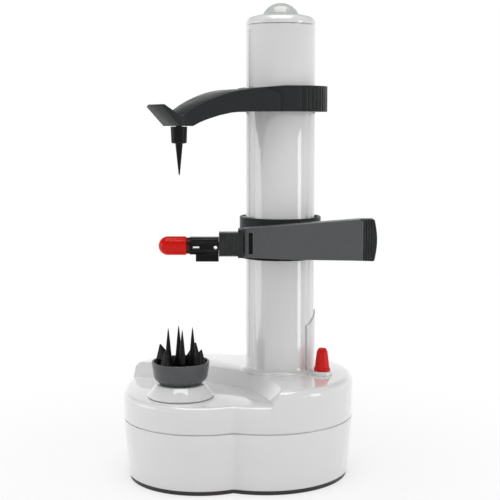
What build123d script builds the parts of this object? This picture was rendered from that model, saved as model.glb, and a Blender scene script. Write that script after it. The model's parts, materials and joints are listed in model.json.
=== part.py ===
from build123d import *
from math import acos, cos, pi, radians, sin, sqrt, tan
import os

os.makedirs("parts", exist_ok=True)

# Upright electric peeler for round food. Millimetres, +Z up. The origin is the middle of the
# base's underside. The food turns between a spiked cup on the base and a spike on the upper arm,
# while a lead screw inside the tower carries the blade arm up and down.

# ---------------------------------------------------------------- driving dimensions
FIT = 0.06  # radial running clearance
PRESS = 0.05  # radial clearance of parts that are pushed together and stay
GAP = 0.3  # clearance between moving bodies
OVER = 1.0  # how far a cutting body runs past what it cuts
FAR = 40.0  # reach of a cutting body that only has to pass right through

# base: two overlapping rounded lobes, (x of the centre, half the centre spacing, radius)
LOBES = ((-24.0, 10.2, 49.5), (16.9, 1.7, 56.7))
WALL = 2.4
DRAFT = 2.6  # how much narrower the base is at the bottom
PLATE_TOP = 2.7
PLATE_INSET = 0.9
SPLIT_Z = 38.5
SPLIT_GROOVE = 0.6
RECESS_Z = 55.3
DECK_Z = 64.5
RECESS_EDGE = 3.0
DECK_EDGE = 4.5
RECESS_FOOT = ((-100, 35.0), (1.7, -1.6), (34.5, -87.0))
RECESS_RIM = ((-100, 37.5), (-0.2, 8.6), (38.0, -87.0))
RECESS_CORNERS = (14.0, 20.0)
RECESS_INWARD = (0.94, 0.34)  # unit vector from the tray into the raised deck
BASE_REACH = 120.0  # past the widest point of the base
LIP_INSET = 1.3
LIP_H = 2.5
BOSS_R = 4.0
BOSS_INSET = 8.2
BOSS_WEB = 1.2
BOSS_ANGLES = ((190, 284), (100, 165)), ((-70, -9), (50, 108))  # front and rear pairs of each lobe
FOOT_R, FOOT_H = 6.0, 1.4
FOOT_SPOTS = ((-50, -30), (-50, 30), (12, -45), (28, 43))

# screws
SCREW_R = 1.3
SCREW_HOLE = SCREW_R + 0.3
HEAD_R, HEAD_H, HEAD_EDGE = 2.7, 1.7, 0.4
HEAD_POCKET_R, HEAD_POCKET_H = 3.1, 2.0

# battery bay, as low and high sides along X, Y and Z, and its cells
BAY = ((4.5, 57.0), (-30.5, 29.5), (0, 19.2))
BAY_WALL = 1.6
BAY_TOP = 21.0
DOOR_LEDGE, DOOR_LEDGE_Z = 1.2, 1.8
DOOR_Z = (0.3, 1.7)
DOOR_GRIP = (20.0, 3.0, 1.2, 0.5)  # first groove along the door, pitch, width and depth
CELL_R, CELL_L = 7.1, 48.5
CELL_Z = 10.0
CELL_PITCH = 15.0
NUB_R, NUB_L = 2.7, 1.4

# tower and food axes
TOWER = (26.8, 10.4)
AXIS_GAP = 74.0
AXIS_ANGLE = 211.87  # direction from the tower to the food axis
TOWER_R = 22.2
TOWER_BORE = 20.2
TOWER_TOP = 286.1
CAP_Z = 286.7
CAP_TOP = 292.6
SLOT_W = 8.0
SLOT_Z = (94.0, 202.0)
KEYWAY_W = 6.0
KEYWAY_DEEP = 0.5
SPINE_R = 22.9
SPINE_HALF_W = 15.0
SPINE_SHOULDER_Z, SPINE_TIP_Z = 88.0, 103.5
TOWER_FLARE = 4.0
TOWER_FLOOR = 3.5
TOWER_FOOT_BORE = 15.0
TOWER_SCREWS = (17.4, (0, 130, 235))  # radius and angles
BUTTON_R, BUTTON_EDGE, BUTTON_TOP = 12.9, 11.8, 300.6
BUTTON_STEM = (3.0, 277.2)  # radius and lower end
BUTTON_FLANGE = (13.6, 286.5, 290.1)  # radius, underside and top

# gear train (module, teeth)
GEAR_M = 1.0
FINE_M = 0.8
SPINDLE_T, IDLER_T, SCREW_T = 44, 41, 22
SMALL_T, LARGE_T, PINION_T = 16, 48, 12
BACKLASH = 0.22
CHASSIS_Z = (33.0, 36.0)
TRAIN_Z = (43.0, 48.0)
FINE_Z = (37.4, 41.4)
COMPOUND_ANGLE = 118.9
MOTOR_ANGLE = 149.8
PRESSURE_ANGLE = 20
SPINDLE_R, AXLE_R, SHAFT_R = 3.0, 2.0, 1.0
BUSH_R, BUSH_FLANGE_R = 6.0, 8.0
MOTOR_R, MOTOR_BOTTOM = 12.0, 5.0
MOTOR_NOSE_R, MOTOR_NOSE_H = 3.9, 1.6
MOTOR_SCREWS = (8.0, (60, 240))  # radius and angles
LEAD_R, LEAD_END_R = 4.0, 2.5
LEAD_TOP = 268.0
BEARING_Z = (LEAD_TOP - 6, LEAD_TOP - 2.5)

# food cup
CUP_Z, CUP_FLOOR_Z, CUP_RIM_Z, CUP_R = 63.5, 73.0, 77.6, 18.2
CONE_Z, CONE_R, CONE_TOP_R = 55.7, 21.0, 15.4
SPIKE_PITCH_R, SPIKE_TIP_Z = 7.6, 98.6
FIN_TIP_R, FIN_TIP_Z = 16.0, 86.6
FIN_INNER_R, FIN_INNER_Z = 7.6, 77.6
FIN_HALF_W, FIN_HALF_TOP = 3.0, 0.6
CUP_ANGLES = (12, 102, 192, 282)

# carriage and blade arm
COLLAR_Z = (138.5, 164.9)
COLLAR_R = 26.3
SLEEVE_R = (22.3, 24.0)
SLEEVE_LIP = 1.6
NUT_R = 7.5
NUT_Z = (146.0, 157.0)
ARM_Y = -28.7
ARM_Z = 149.8
HANDLE_Y = (-29.0, -18.0)
HANDLE_X = (3.2, 75.2, 83.9)  # left end, start of the ribbed end, right corners
HANDLE_TOP = (160.4, 166.0)
HANDLE_BOTTOM = (142.6, 140.9, 140.0)
HANDLE_BULGE = 1.7
HANDLE_SKIN = 2.2
BRIDGE_Z = (145.0, 157.6)
NECK_X = (-11.8, -0.1)
NECK_Z = (143.5, 158.3)
NECK_HALF_W = 4.8
STUB_R = 2.5
HOLDER_X = (-29.8, -12.1)
HOLDER_HALF_W = 4.0
BLADE_X = (-24.2, -15.8)
BLADE_Y = ARM_Y + 2.6
BLADE_Z = (144.0, 154.8)
SLIT_Z = (145.6, 153.4)
NOSE_X, NOSE_R, NOSE_L = -49.1, 5.8, 17.2
NOSE_NECK_R = 5.1

# upper arm
RING_Z = (232.0, 248.0)
RING_R = 27.5
PANEL_END_X = 25.8  # where the arm's front face ends, in front of the ring
BOSS_END_R = 10.5
PAD_R = (27.0, 30.0)
PAD_ANGLE = -20
PAD_W = 37.4
PAD_PEGS = (-12, 12)
PAD_WALL_R = PAD_R[0] - 2.1
PAD_START_R = 23.2
PEG_R = 1.2
UPPER_SPIKE_Z = (192.9, 212.2, 222.7, 226.2)  # point, hub, shoulder and pin end
PIVOT_R = 2.0

# thumb knife parked on the deck
KNIFE = (53.5, -8.3)
SOCKET_R, SOCKET_BORE = 4.95, 3.4
SOCKET_Z = (48.5, 50.0, 66.9)  # underside, bore floor and rim

# power inlet, board and switches
JACK = (16.9, 56.9, 20.0)
JACK_R, JACK_L, JACK_DEEP, PLUG_R, PIN_R = 5.0, 11.0, 9.0, 2.75, 1.0
BOARD_Z = 41.0
BOARD_T = 1.6
BOARD_POSTS = ((41.5, -27.5), (57.5, -4.5))
BOARD_PARTS = ((44, -24, 8, 6, 3), (52, -14, 5, 5, 4), (43, -9, 6, 4, 2.5), (55, -24, 4, 8, 2))
RAIL_Y = (-18.4, -17.2)  # from the tower's axis
SWITCH_Y = (-17.2, -12.8, -11.4)  # back, front and button tip, from the tower's axis
SWITCH_HALF_W = 5.0
LIMITS_Z = (86.0, 206.0)  # undersides of the two limit switches
START_SWITCH_Z = (265.5, 272.0, 274.0, 275.0)  # feet, ledge, top and button

FOOD = (
    TOWER[0] + AXIS_GAP * cos(radians(AXIS_ANGLE)),
    TOWER[1] + AXIS_GAP * sin(radians(AXIS_ANGLE)),
)


# ---------------------------------------------------------------- helpers
def step_from(point, angle, distance):
    """A point at a distance from another, in plan."""
    return (
        point[0] + distance * cos(radians(angle)),
        point[1] + distance * sin(radians(angle)),
    )


def rod(at, radius, z0, z1):
    return Pos(at[0], at[1], z0) * extrude(Circle(radius), z1 - z0)


def ring(at, outer, inner, z0, z1):
    return Pos(at[0], at[1], z0) * extrude(Circle(outer) - Circle(inner), z1 - z0)


def block(x, y, z):
    """A box from three (low, high) pairs."""
    size = [abs(high - low) for low, high in (x, y, z)]
    return Pos((x[0] + x[1]) / 2, (y[0] + y[1]) / 2, (z[0] + z[1]) / 2) * Box(*size)


def turned(at, points):
    """A revolve about the vertical axis at a place in plan; points are (radius, z)."""
    face = make_face(Polyline(*[(r, 0, z) for r, z in points], close=True))
    return Pos(at[0], at[1], 0) * revolve(face, Axis.Z)


def about(at, angle, shape):
    """Turn a shape that was drawn along +X from the origin, and set it at a place in plan."""
    return Pos(at[0], at[1], 0) * Rot(0, 0, angle) * shape


def stadium(lobe, grow):
    x, half, radius = lobe
    return Pos(x, 0) * Rot(0, 0, 90) * SlotCenterToCenter(2 * half, 2 * (radius + grow))


def draft_at(z):
    """How far the base wall stands inside its widest outline at a height."""
    return DRAFT * max(0.0, 1 - (z - PLATE_TOP) / (SPLIT_Z - PLATE_TOP))


def lobes(z0, z1, grow):
    """The drafted base body between two heights."""
    solids = []
    for lobe in LOBES:
        low = Pos(0, 0, z0) * stadium(lobe, grow - draft_at(z0))
        high = Pos(0, 0, z1) * stadium(lobe, grow - draft_at(z1))
        solids.append(loft([low, high]))
    return solids[0] + solids[1]


def rounded_lobes(z0, z1, grow, edge):
    """A base body with a rounded top edge."""
    solids = []
    for lobe in LOBES:
        body = Pos(0, 0, z0) * extrude(stadium(lobe, grow), z1 - z0)
        solids.append(fillet(body.edges().group_by(Axis.Z)[-1], edge))
    return solids[0] + solids[1]


def screw(at, z0, z1):
    """A pan-head screw driven upwards from z0 to z1."""
    head = chamfer(rod(at, HEAD_R, z0, z0 + HEAD_H).edges().group_by(Axis.Z)[0], HEAD_EDGE)
    return head + rod(at, SCREW_R, z0 + HEAD_H, z1)


# ---------------------------------------------------------------- gears
def half_thickness(radius, teeth, module):
    """Half the angle that an involute tooth spans at a radius, in radians."""
    pitch_r = teeth * module / 2
    base_r = pitch_r * cos(radians(PRESSURE_ANGLE))
    pressure = acos(base_r / max(radius, base_r))
    involute = tan(pressure) - pressure
    at_pitch = (pi * module / 2 - BACKLASH) / 2 / pitch_r
    return at_pitch + tan(radians(PRESSURE_ANGLE)) - radians(PRESSURE_ANGLE) - involute


def gear(teeth, module, z, bore, phase):
    """A spur gear about Z with its first tooth at the angle phase, in degrees."""
    pitch_r = teeth * module / 2
    root, flank, tip = -1.15, -0.2, 0.9
    radii = [pitch_r + share * module for share in (root, flank, tip)]
    half = [half_thickness(r, teeth, module) for r in radii]
    points = []
    for tooth in range(teeth):
        middle = radians(phase) + 2 * pi * tooth / teeth
        for r, a in zip(radii, half):
            points.append((r * cos(middle - a), r * sin(middle - a)))
        for r, a in zip(radii[::-1], half[::-1]):
            points.append((r * cos(middle + a), r * sin(middle + a)))
    face = make_face(Polyline(*points, close=True)) - Circle(bore)
    return Pos(0, 0, z[0]) * extrude(face, z[1] - z[0])


def mesh_phase(phase, teeth, angle, next_teeth):
    """The phase of the next gear, which lies at an angle from a gear of a known phase."""
    return angle + 180 - ((phase - angle) * teeth + 180) / next_teeth


FOOD_TO_TOWER = AXIS_ANGLE - 180
IDLER = step_from(FOOD, FOOD_TO_TOWER, GEAR_M * (SPINDLE_T + IDLER_T) / 2)
COMPOUND = step_from(IDLER, COMPOUND_ANGLE, GEAR_M * (IDLER_T + SMALL_T) / 2)
MOTOR = step_from(COMPOUND, MOTOR_ANGLE, FINE_M * (LARGE_T + PINION_T) / 2)
IDLER_PHASE = mesh_phase(FOOD_TO_TOWER, SPINDLE_T, FOOD_TO_TOWER, IDLER_T)
SCREW_PHASE = mesh_phase(IDLER_PHASE, IDLER_T, FOOD_TO_TOWER, SCREW_T)
SMALL_PHASE = mesh_phase(IDLER_PHASE, IDLER_T, COMPOUND_ANGLE, SMALL_T)
PINION_PHASE = mesh_phase(SMALL_PHASE, LARGE_T, MOTOR_ANGLE, PINION_T)


def placed_gear(at, teeth, module, z, bore, phase):
    return Pos(at[0], at[1], 0) * gear(teeth, module, z, bore, phase)


HUB_R = 7.0
IDLER_HUB_R, IDLER_HUB_H = 6.0, 2.0
PINION_OVERLAP = 0.6


def spindle_gear():
    hub = ring(FOOD, HUB_R, SPINDLE_R, CHASSIS_Z[1] + 1.6, TRAIN_Z[0])
    return hub + placed_gear(FOOD, SPINDLE_T, GEAR_M, TRAIN_Z, SPINDLE_R, FOOD_TO_TOWER)


def idler_gear():
    hub = ring(IDLER, IDLER_HUB_R, AXLE_R + FIT, TRAIN_Z[0] - IDLER_HUB_H, TRAIN_Z[0])
    return hub + placed_gear(IDLER, IDLER_T, GEAR_M, TRAIN_Z, AXLE_R + FIT, IDLER_PHASE)


def screw_gear():
    hub = ring(TOWER, HUB_R, LEAD_R, CHASSIS_Z[1] + 2.0, TRAIN_Z[0])
    return hub + placed_gear(TOWER, SCREW_T, GEAR_M, TRAIN_Z, LEAD_R, SCREW_PHASE)


def compound_gear():
    large = placed_gear(COMPOUND, LARGE_T, FINE_M, FINE_Z, AXLE_R + FIT, SMALL_PHASE)
    small_z = (FINE_Z[1], TRAIN_Z[1])
    return large + placed_gear(COMPOUND, SMALL_T, GEAR_M, small_z, AXLE_R + FIT, SMALL_PHASE)


def motor_pinion():
    z = (FINE_Z[0] - PINION_OVERLAP, FINE_Z[1] + PINION_OVERLAP)
    return placed_gear(MOTOR, PINION_T, FINE_M, z, SHAFT_R, PINION_PHASE)


# ---------------------------------------------------------------- base
def boss_points():
    """Where the long base screws run, and the way from each to the nearest wall."""
    spots = []
    for (x, half, radius), (front, rear) in zip(LOBES, BOSS_ANGLES):
        for y, angles in ((-half, front), (half, rear)):
            spots += [(step_from((x, y), angle, radius - BOSS_INSET), angle) for angle in angles]
    return spots


def boss(spot, angle, z0, z1):
    """A screw boss with a web that runs out through the wall, to be trimmed there."""
    web = block((0, BOSS_INSET), (-BOSS_WEB, BOSS_WEB), (z0, z1))
    return rod(spot, BOSS_R, z0, z1) + about(spot, angle, web)


def round_bay(grow, z):
    """A block over the battery bay, grown sideways, between two heights."""
    (x0, x1), (y0, y1), _ = BAY
    return block((x0 - grow, x1 + grow), (y0 - grow, y1 + grow), z)


def bottom_plate():
    """Plate under the base, with the battery bay standing on it."""
    plate = lobes(0, PLATE_TOP, -PLATE_INSET)
    for spot, _ in boss_points():
        plate -= rod(spot, HEAD_POCKET_R, 0, HEAD_POCKET_H)
        plate -= rod(spot, SCREW_HOLE, HEAD_POCKET_H, PLATE_TOP)
    for spot in FOOT_SPOTS:
        plate -= rod(spot, FOOT_R, 0, FOOT_H)
    plate += round_bay(BAY_WALL, (PLATE_TOP, BAY_TOP))
    plate -= round_bay(0, BAY[2])
    return plate - round_bay(DOOR_LEDGE, (0, DOOR_LEDGE_Z))


def foot_pads():
    edge = 0.3
    pads = [rod(spot, FOOT_R - 0.1, 0, FOOT_H) for spot in FOOT_SPOTS]
    return [chamfer(pad.edges().group_by(Axis.Z)[0], edge) for pad in pads]


def battery_door():
    """Flat door over the bay, with five finger grooves."""
    door = round_bay(DOOR_LEDGE - 0.25, DOOR_Z)
    first, pitch, width, deep = DOOR_GRIP
    for row in range(5):
        x = BAY[0][0] + first + pitch * row
        door -= block((x, x + width), (-9.5, 8.5), (DOOR_Z[0], DOOR_Z[0] + deep))
    return door


def lower_housing():
    """Lower shell, with a lip that the upper shell sits over and eight screw bosses."""
    body = lobes(PLATE_TOP, SPLIT_Z - SPLIT_GROOVE / 2, 0) - lobes(PLATE_TOP, SPLIT_Z, -WALL)
    lip_z = (SPLIT_Z - 1.5, SPLIT_Z + LIP_H)
    body += lobes(*lip_z, -LIP_INSET) - lobes(*lip_z, -WALL)
    for spot, angle in boss_points():
        body += boss(spot, angle, PLATE_TOP, CHASSIS_Z[0]) & lobes(PLATE_TOP, CHASSIS_Z[0] + OVER, -1)
        body -= rod(spot, SCREW_HOLE, PLATE_TOP, CHASSIS_Z[0])
    jack = Pos(*JACK) * Rot(-90, 0, 0)
    return body - jack * extrude(Circle(JACK_R + PRESS), JACK_L + OVER, both=True)


def crescent(inset):
    """The raised right and rear part of the deck, with its slanted wall over the recess."""
    def outline(points, corner, z):
        east, north = RECESS_INWARD
        shift = [(x + east * inset, y + north * inset) for x, y in points]
        path = FilletPolyline(*shift, radius=corner)
        (left, _), *_, (_, front) = points
        far = ((BASE_REACH, front), (BASE_REACH, BASE_REACH), (left, BASE_REACH))
        return Pos(0, 0, z) * make_face(path + Polyline(shift[-1], *far, shift[0]))

    deep = 8.0
    low = outline(RECESS_FOOT, RECESS_CORNERS[0], RECESS_Z - deep)
    foot = outline(RECESS_FOOT, RECESS_CORNERS[0], RECESS_Z)
    rim = outline(RECESS_RIM, RECESS_CORNERS[1], DECK_Z)
    return loft([foot, rim], ruled=True) + extrude(low, deep)


def upper_housing():
    """Upper shell: a tray at one level, and the deck above it behind a slanted wall."""
    z0 = SPLIT_Z + SPLIT_GROOVE / 2
    outer = rounded_lobes(z0, RECESS_Z, 0, RECESS_EDGE)
    outer += rounded_lobes(z0, DECK_Z, 0, DECK_EDGE) & crescent(0)
    inner = rounded_lobes(z0, RECESS_Z - WALL, -WALL, RECESS_EDGE - 1)
    inner += rounded_lobes(z0, DECK_Z - WALL, -WALL, DECK_EDGE - 1) & crescent(WALL)
    inner += lobes(z0, SPLIT_Z + LIP_H + GAP, -LIP_INSET + 0.1)
    body = outer - inner
    boss_top = RECESS_Z - 1
    room = rounded_lobes(CHASSIS_Z[1], boss_top, -WALL - 0.2, 1)
    wall_zone = rounded_lobes(SPLIT_Z + 3, boss_top, -1, 1)
    for spot, angle in boss_points():
        body += boss(spot, angle, CHASSIS_Z[1], boss_top) & (room + wall_zone)
        body -= rod(spot, SCREW_R + PRESS, CHASSIS_Z[1], boss_top - 4)
    body -= rod(TOWER, TOWER_FOOT_BORE - 1.5, RECESS_Z, DECK_Z)
    for spot in tower_screw_points():
        body -= rod(spot, SCREW_HOLE, RECESS_Z, DECK_Z)
    body -= rod(FOOD, BUSH_R, RECESS_Z - WALL - OVER, RECESS_Z)
    return body - rod(KNIFE, SOCKET_R + PRESS, RECESS_Z, DECK_Z)


def chassis_plate():
    """Steel plate between the shells, which carries the motor and the gear train."""
    plate = lobes(*CHASSIS_Z, -WALL - 0.8)
    for spot, _ in boss_points():
        plate -= rod(spot, SCREW_HOLE, *CHASSIS_Z)
    nose_hole = MOTOR_NOSE_R + 0.1
    holes = ((FOOD, BUSH_R), (TOWER, BUSH_R), (MOTOR, nose_hole), (IDLER, AXLE_R), (COMPOUND, AXLE_R))
    for at, radius in holes:
        plate -= rod(at, radius, *CHASSIS_Z)
    for at in motor_screw_points():
        plate -= rod(at, MOTOR_SCREW_R + 0.1, *CHASSIS_Z)
    return plate


def base_screws():
    return [screw(spot, DOOR_Z[0], RECESS_Z - 8) for spot, _ in boss_points()]


# ---------------------------------------------------------------- drive
def axle(at, shoulder_z):
    """A fixed gear axle, pressed into the chassis plate, with a shoulder under its gear."""
    shoulder = rod(at, AXLE_R + 1.4, CHASSIS_Z[1], shoulder_z)
    return shoulder + rod(at, AXLE_R, CHASSIS_Z[0], TRAIN_Z[1] + 1.5)


MOTOR_SCREW_R = 1.2
SHAFT_BOTTOM = 24.5


def motor_screw_points():
    radius, angles = MOTOR_SCREWS
    return [step_from(MOTOR, angle, radius) for angle in angles]


def motor():
    """Small motor with a rounded end, two flats and a centring nose."""
    can = rod(MOTOR, MOTOR_R, MOTOR_BOTTOM, CHASSIS_Z[0])
    can = fillet(can.edges().group_by(Axis.Z)[0], 1.5)
    flat = MOTOR_R - 1.5
    for side in (-1, 1):
        sides = (side * flat, side * (MOTOR_R + OVER))
        across = (-MOTOR_R - OVER, MOTOR_R + OVER)
        can -= about(MOTOR, MOTOR_ANGLE, block(across, sides, (MOTOR_BOTTOM - OVER, CHASSIS_Z[0] - 2)))
    nose_top = CHASSIS_Z[0] + MOTOR_NOSE_H
    nose = rod(MOTOR, MOTOR_NOSE_R, CHASSIS_Z[0], nose_top)
    return can + nose - rod(MOTOR, SHAFT_R + FIT, SHAFT_BOTTOM - 0.5, nose_top)


def motor_shaft():
    return rod(MOTOR, SHAFT_R, SHAFT_BOTTOM, FINE_Z[1] + PINION_OVERLAP)


def motor_screws():
    screws = []
    for at in motor_screw_points():
        head = rod(at, MOTOR_SCREW_R + 1, CHASSIS_Z[1], CHASSIS_Z[1] + 1)
        screws.append(head + rod(at, MOTOR_SCREW_R, *CHASSIS_Z))
    return screws


def flanged_bush(at, bore, body, flange):
    """A bush with its flange; body and flange are heights of the two."""
    return ring(at, BUSH_FLANGE_R, bore + FIT, *flange) + ring(at, BUSH_R, bore + FIT, *body)


def spindle_shaft():
    return rod(FOOD, SPINDLE_R, CHASSIS_Z[0] - 2, CUP_Z + 4)


def spindle_lower_bush():
    return flanged_bush(FOOD, SPINDLE_R, CHASSIS_Z, (CHASSIS_Z[1], CHASSIS_Z[1] + 1.5))


def spindle_upper_bush():
    deck_under = RECESS_Z - WALL
    return flanged_bush(FOOD, SPINDLE_R, (deck_under, RECESS_Z), (deck_under - 1.5, deck_under))


def lead_screw():
    """Lead screw at its outside diameter, with a thinner journal at each end."""
    thread = (CHASSIS_Z[1] + 2, LEAD_TOP - 8)
    foot = rod(TOWER, LEAD_END_R, CHASSIS_Z[0] - 1, thread[0])
    return foot + rod(TOWER, LEAD_R, *thread) + rod(TOWER, LEAD_END_R, thread[1], LEAD_TOP)


def screw_lower_bush():
    return flanged_bush(TOWER, LEAD_END_R, CHASSIS_Z, (CHASSIS_Z[1], CHASSIS_Z[1] + 1.7))


def screw_upper_bearing():
    return ring(TOWER, TOWER_BORE, LEAD_R, *BEARING_Z)


def screw_upper_bush():
    return ring(TOWER, LEAD_R, LEAD_END_R + FIT, *BEARING_Z)


# ---------------------------------------------------------------- power and control
def cell(x, y, flip):
    """A size AA cell lying along X."""
    nub_x = x - NUB_L if flip else x + CELL_L
    can = Pos(x, y, CELL_Z) * Rot(0, 90, 0) * extrude(Circle(CELL_R), CELL_L)
    return can + Pos(nub_x, y, CELL_Z) * Rot(0, 90, 0) * extrude(Circle(NUB_R), NUB_L)


def cell_rows():
    middle = (BAY[1][0] + BAY[1][1]) / 2
    return [middle + CELL_PITCH * (row - 1.5) for row in range(4)]


def batteries():
    return [cell(BAY[0][0] + 2, y, row % 2) for row, y in enumerate(cell_rows())]


def battery_contacts():
    """Sprung plates at both ends of the bay, each bridging two cells."""
    low, high = BAY[0]
    thick, half = 0.5, 5.0
    left = ((0, 1), (2, 3))
    right = ((0, 0), (1, 2), (3, 3))
    rows = cell_rows()
    plates = []
    for x, pairs in (((low, low + thick), left), ((high - thick, high), right)):
        for first, last in pairs:
            plates.append(block(x, (rows[first] - half, rows[last] + half), (CELL_Z - half, CELL_Z + half)))
    return plates


def circuit_board():
    """Small board with its parts, on two posts."""
    top = BOARD_Z + BOARD_T
    board = block((39, 60), (-30, -2), (BOARD_Z, top))
    for x, y, wide, deep, high in BOARD_PARTS:
        board += block((x, x + wide), (y, y + deep), (top, top + high))
    for spot in BOARD_POSTS:
        board -= rod(spot, SCREW_R + 0.2, BOARD_Z, top)
    return board


def board_standoffs():
    return [ring(spot, 2 * SCREW_R, 1.0, CHASSIS_Z[1], BOARD_Z) for spot in BOARD_POSTS]


def dc_jack():
    """Round power inlet at the back of the base."""
    flange_r, flange_t, flange_in = 6.8, 2.0, 3.4
    turn = Pos(*JACK) * Rot(90, 0, 0)
    body = turn * extrude(Circle(JACK_R), JACK_L) - turn * extrude(Circle(PLUG_R), JACK_DEEP)
    body += turn * extrude(Circle(PIN_R), JACK_DEEP)
    flange = turn * extrude(Circle(flange_r) - Circle(JACK_R - 0.1), flange_t)
    return body + Pos(0, -flange_in, 0) * flange


def switch_rail():
    """Narrow strip inside the front of the tower that carries the two limit switches."""
    x, y = TOWER
    z = (DECK_Z + TOWER_FLOOR, BEARING_Z[0])
    return block((x - SWITCH_HALF_W, x + SWITCH_HALF_W), (y + RAIL_Y[0], y + RAIL_Y[1]), z)


def limit_switch(z, button_side):
    """A switch body 10 mm high, with its button near the top (1) or the bottom (-1)."""
    x, y = TOWER
    back, front, tip = [y + step for step in SWITCH_Y]
    body = block((x - SWITCH_HALF_W, x + SWITCH_HALF_W), (back, front), (z, z + 10))
    button_z = z + 5 + 3.4 * button_side
    return body + block((x - 1, x + 1), (front, tip), (button_z - 0.8, button_z + 0.8))


def start_switch():
    """Push switch under the start button, on two legs that stand on the bearing."""
    x, y = TOWER
    feet, ledge, top, button = START_SWITCH_Z
    half, foot_w = 6.0, 3.0
    deep = (y - half, y + half)
    switch = block((x - half, x + half), deep, (feet + 3, top)) + rod(TOWER, 1.7, top, button)
    for side in (-1, 1):
        inner = side * (half - 1)
        switch += block((x + inner, x + inner + side * foot_w), deep, (feet, ledge))
    return switch


# ---------------------------------------------------------------- tower
def tower_screw_points():
    radius, angles = TOWER_SCREWS
    return [step_from(TOWER, angle, radius) for angle in angles]


def tower_flare():
    """Points of the quarter round at the tower's foot, as (radius, z)."""
    turns = [radians(15 * step) for step in range(6, -1, -1)]
    middle_r, middle_z = TOWER_R + TOWER_FLARE, DECK_Z + TOWER_FLARE
    return [(middle_r - TOWER_FLARE * cos(a), middle_z - TOWER_FLARE * sin(a)) for a in turns]


def tower_spine():
    """Pointed leaf that stands proud on the right of the tower's foot."""
    half, shoulder = SPINE_HALF_W, SPINE_SHOULDER_Z
    leaf = Polyline(
        (-half, DECK_Z), (-half, shoulder), (0, SPINE_TIP_Z), (half, shoulder), (half, DECK_Z), close=True
    )
    right = Pos(*TOWER, 0) * extrude(Plane.YZ * make_face(leaf), FAR)
    return right & ring(TOWER, SPINE_R, TOWER_BORE + 0.5, DECK_Z, SPINE_TIP_Z)


def tower_tube():
    """Tower with a flared foot, a spine, a keyway to the left and a rear slot for the carriage."""
    floor_z = DECK_Z + TOWER_FLOOR
    outline = [(TOWER_FOOT_BORE, DECK_Z), *tower_flare(), (TOWER_R, TOWER_TOP), (TOWER_BORE, TOWER_TOP)]
    outline += [(TOWER_BORE, floor_z), (TOWER_FOOT_BORE, floor_z)]
    tube = turned(TOWER, outline) + tower_spine()
    keyway_z = (74.0, TOWER_TOP - 3)
    key = block((TOWER_R - KEYWAY_DEEP, FAR), (-KEYWAY_W / 2, KEYWAY_W / 2), keyway_z)
    tube -= about(TOWER, AXIS_ANGLE, key)
    slot = block((TOWER_BORE - 3, FAR), (-SLOT_W / 2, SLOT_W / 2), SLOT_Z)
    tube -= about(TOWER, 90, slot)
    for spot in tower_screw_points():
        tube -= rod(spot, SCREW_R + 0.02, DECK_Z, floor_z)
    return tube


def tower_screws():
    return [screw(spot, DECK_Z - WALL - HEAD_H, DECK_Z + 5) for spot in tower_screw_points()]


def tower_cap():
    """Rounded shoulder that closes the tower and holds the start button."""
    skirt_r, skirt_z = 19.2, 278.0
    hole_r, ceiling_z = BUTTON_EDGE + GAP, 290.2
    shoulder = [(TOWER_R, CAP_Z), (TOWER_R, 288.2), (21.6, 289.9), (20.3, 291.3)]
    shoulder += [(18.4, 292.2), (16.0, CAP_TOP)]
    inside = [(hole_r, CAP_TOP), (hole_r, ceiling_z), (skirt_r - 1.2, ceiling_z), (skirt_r, ceiling_z - 1.2)]
    skirt = [(skirt_r, skirt_z), (TOWER_BORE, skirt_z), (TOWER_BORE, CAP_Z)]
    cap = turned(TOWER, shoulder + inside + skirt)
    notch = block((skirt_r - OVER, TOWER_BORE + OVER), (-2, 2), (skirt_z - OVER, skirt_z + 2))
    for angle in (30, 150, 270):
        cap -= about(TOWER, angle, notch)
    return cap


def start_button():
    """Domed button with a retaining flange and a stem over the switch."""
    stem_r, stem_z = BUTTON_STEM
    flange_r, flange_z, flange_top = BUTTON_FLANGE
    steps = 8
    span = acos(sqrt(BUTTON_R**2 - BUTTON_EDGE**2) / BUTTON_R)
    turns = [span * (1 - step / steps) for step in range(steps)]
    dome = [(BUTTON_R * sin(a), BUTTON_TOP - BUTTON_R + BUTTON_R * cos(a)) for a in turns]
    outline = [(0, stem_z), (stem_r, stem_z), (stem_r, flange_z), (flange_r, flange_z)]
    outline += [(flange_r, flange_top), (BUTTON_EDGE, flange_top)]
    return turned(TOWER, outline + dome + [(0, BUTTON_TOP)])


def button_spring():
    return ring(TOWER, 8.0, 6.5, START_SWITCH_Z[3], BUTTON_FLANGE[1] - 0.1)


def spring_seat():
    """Disc over the start switch that the button's spring stands on."""
    x, y = TOWER
    top = START_SWITCH_Z[3]
    disc = ring(TOWER, TOWER_BORE, 6.0, top - 1.4, top)
    return disc - block((x - 8.1, x + 8.1), (y - 6.1, y + 6.1), (top - 2, START_SWITCH_Z[2] + 0.2))


# ---------------------------------------------------------------- food cup
def turntable():
    """Pale cone that turns in the recess and carries the cup."""
    edge = 0.6
    outline = [(SPINDLE_R, CONE_Z), (CONE_R - edge, CONE_Z), (CONE_R, CONE_Z + edge), (CONE_TOP_R, CUP_Z)]
    return turned(FOOD, outline + [(SPINDLE_R, CUP_Z)])


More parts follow.
